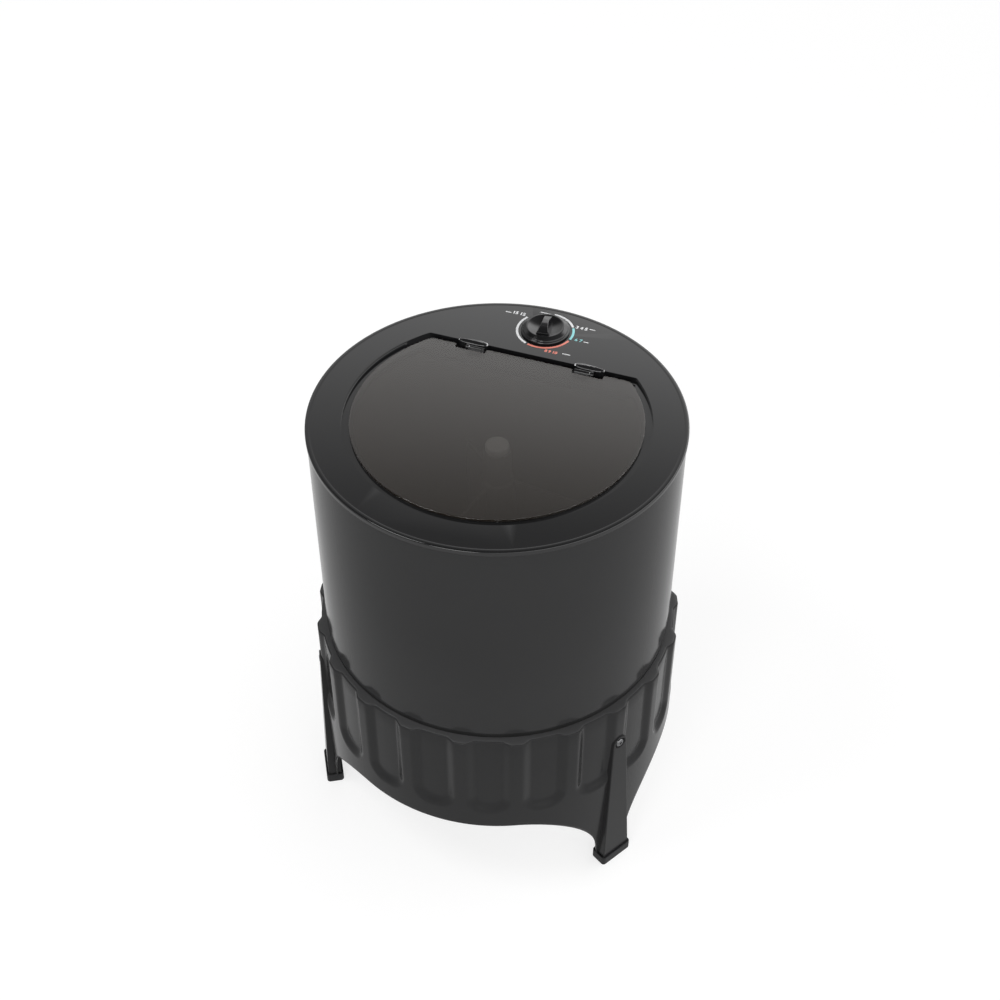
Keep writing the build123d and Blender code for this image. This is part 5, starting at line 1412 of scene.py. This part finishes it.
@dataclass
class Studio:
    """Pale floor, soft light and the camera."""

    camera_place: tuple[float, float, float] = (0.54834, -1.49650, 2.0551)
    pitch: float = 43.327
    heading: float = 19.990
    roll: float = -0.130
    focal_pixels: float = 1560.0
    frame_pixels: float = 1000.0
    sensor: float = 36.0
    clip: tuple[float, float] = (0.05, 60)
    aim_height: float = 0.4
    floor_radius: float = 14.0
    floor_steps: int = 64
    floor_roughness: float = 0.8
    floor_shade: float = 0.36
    floor_glow: float = 0.70
    floor_gloss_glow: float = 0.50
    sky_scale: float = 2.0
    sky: tuple[tuple[float, float], ...] = (
        (0.0, 1.0), (0.22, 1.0), (0.48, 1.8), (0.585, 1.8), (0.606, 1.5),
        (0.635, 1.07), (0.673, 0.60), (0.70, 0.35), (0.75, 0.2), (1.0, 0.16),
    )
    side_reach: float = 0.4
    side_gain: float = 0.6
    lamps: tuple[tuple[str, tuple[float, float, float], float, float], ...] = (
        ("soft_lamp", (-1.4, -1.0, 3.2), 1.2, 24.0),
        ("front_lamp", (-0.1, -2.6, 1.9), 1.2, 20.0),
    )

    def build(self) -> None:
        """Builds the floor, the world, the lamps and the camera."""
        self.floor()
        self.world()
        for name, place, size, energy in self.lamps:
            self.lamp(name, Vector(place), size, energy)
        self.camera()
        bpy.context.scene.view_settings.view_transform = "Standard"

    def camera(self) -> None:
        """Places the camera at the photograph's viewing angle."""
        data = bpy.data.cameras.new("camera")
        data.sensor_fit = "HORIZONTAL"
        data.sensor_width = self.sensor
        data.lens = self.sensor * self.focal_pixels / self.frame_pixels
        data.clip_start, data.clip_end = self.clip
        camera = new_object("camera", data)
        turn = (
            Matrix.Rotation(radians(self.heading), 4, "Z")
            @ Matrix.Rotation(radians(90 - self.pitch), 4, "X")
            @ Matrix.Rotation(radians(self.roll), 4, "Z")
        )
        camera.matrix_world = Matrix.Translation(self.camera_place) @ turn
        bpy.context.scene.camera = camera

    def floor(self) -> None:
        """Pale floor that keeps the object's shadow."""
        mesh = bmesh.new()
        radius, steps = self.floor_radius, self.floor_steps
        bmesh.ops.create_circle(mesh, cap_ends=True, radius=radius, segments=steps)
        data = bpy.data.meshes.new("floor")
        mesh.to_mesh(data)
        mesh.free()
        floor = new_object("floor", data)
        material = bpy.data.materials.new("pale_floor")
        material.use_nodes = True
        web = Web(material.node_tree)
        gloss = web.math("MULTIPLY", web.background_rays("Glossy"), self.floor_gloss_glow)
        plain = web.background_rays("Camera", "Transmission")
        look = {
            "Base Color": (self.floor_shade,) * 3 + (1,),
            "Roughness": self.floor_roughness,
            "Specular IOR Level": 0.0,
            "Emission Color": (1, 1, 1, 1),
            "Emission Strength": web.math("MULTIPLY_ADD", plain, self.floor_glow, gloss),
        }
        web.feed(material.node_tree.nodes["Principled BSDF"], look)
        data.materials.append(material)

    def world(self) -> None:
        """White backdrop up to a band of soft light, with a dark ceiling over it."""
        world = bpy.data.worlds.new("studio")
        world.use_nodes = True
        bpy.context.scene.world = world
        web = Web(world.node_tree)
        place = web.add("TexCoord").outputs["Generated"]
        height = web.add("SeparateXYZ", {0: place}).outputs["Z"]
        ramp = web.add("ValToRGB", {"Fac": height})
        elements = ramp.color_ramp.elements
        while len(elements) < len(self.sky):
            elements.new(0.5)
        for element, (position, value) in zip(elements, self.sky):
            element.position = position
            element.color = (value / self.sky_scale,) * 3 + (1,)
        across = (cos(radians(self.heading)), sin(radians(self.heading)), 0)
        along = web.add("VectorMath", {0: place, 1: across}, operation="DOT_PRODUCT")
        spans = {
            "Value": along.outputs["Value"],
            "From Min": -self.side_reach,
            "From Max": self.side_reach,
            "To Min": self.sky_scale * (1 - self.side_gain),
            "To Max": self.sky_scale * (1 + self.side_gain),
        }
        light = web.scale(ramp.outputs["Color"], web.add("MapRange", spans).outputs["Result"])
        plain = web.background_rays("Camera", "Transmission")
        views = {"Factor": plain, "A": light, "B": (1, 1, 1, 1)}
        seen = web.add("Mix", views, data_type="RGBA").outputs["Result"]
        web.feed(world.node_tree.nodes["Background"], {"Color": seen})

    def lamp(self, name: str, place: Vector, size: float, energy: float) -> None:
        """Soft round lamp that looks at the machine's middle.

        Args:
            name: The lamp's name.
            place: Its place.
            size: Its diameter in metres.
            energy: Its power in watts.
        """
        data = bpy.data.lights.new(name, "AREA")
        data.shape = "DISK"
        data.size = size
        data.energy = energy
        lamp = new_object(name, data)
        aim = (Vector((0, 0, self.aim_height)) - place).to_track_quat("-Z", "Y")
        lamp.matrix_world = Matrix.Translation(place) @ aim.to_matrix().to_4x4()


def dress_nodes() -> None:
    """Gives every frame node its finish."""
    for name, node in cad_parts.items():
        finish = NODE_FINISHES[name]
        node.data.materials.clear()
        node.data.materials.append(finish.material())


def main() -> None:
    """Builds the machine and its studio in order."""
    logging.basicConfig(level=logging.INFO, format="%(name)s: %(message)s")
    dress_nodes()
    for part in (Base(), Drum(), Deck(), Lid(), Hinges(), Knob(), Inside(), Studio()):
        log.info("building %s", type(part).__name__)
        part.build()


if __name__ == "__main__":
    main()
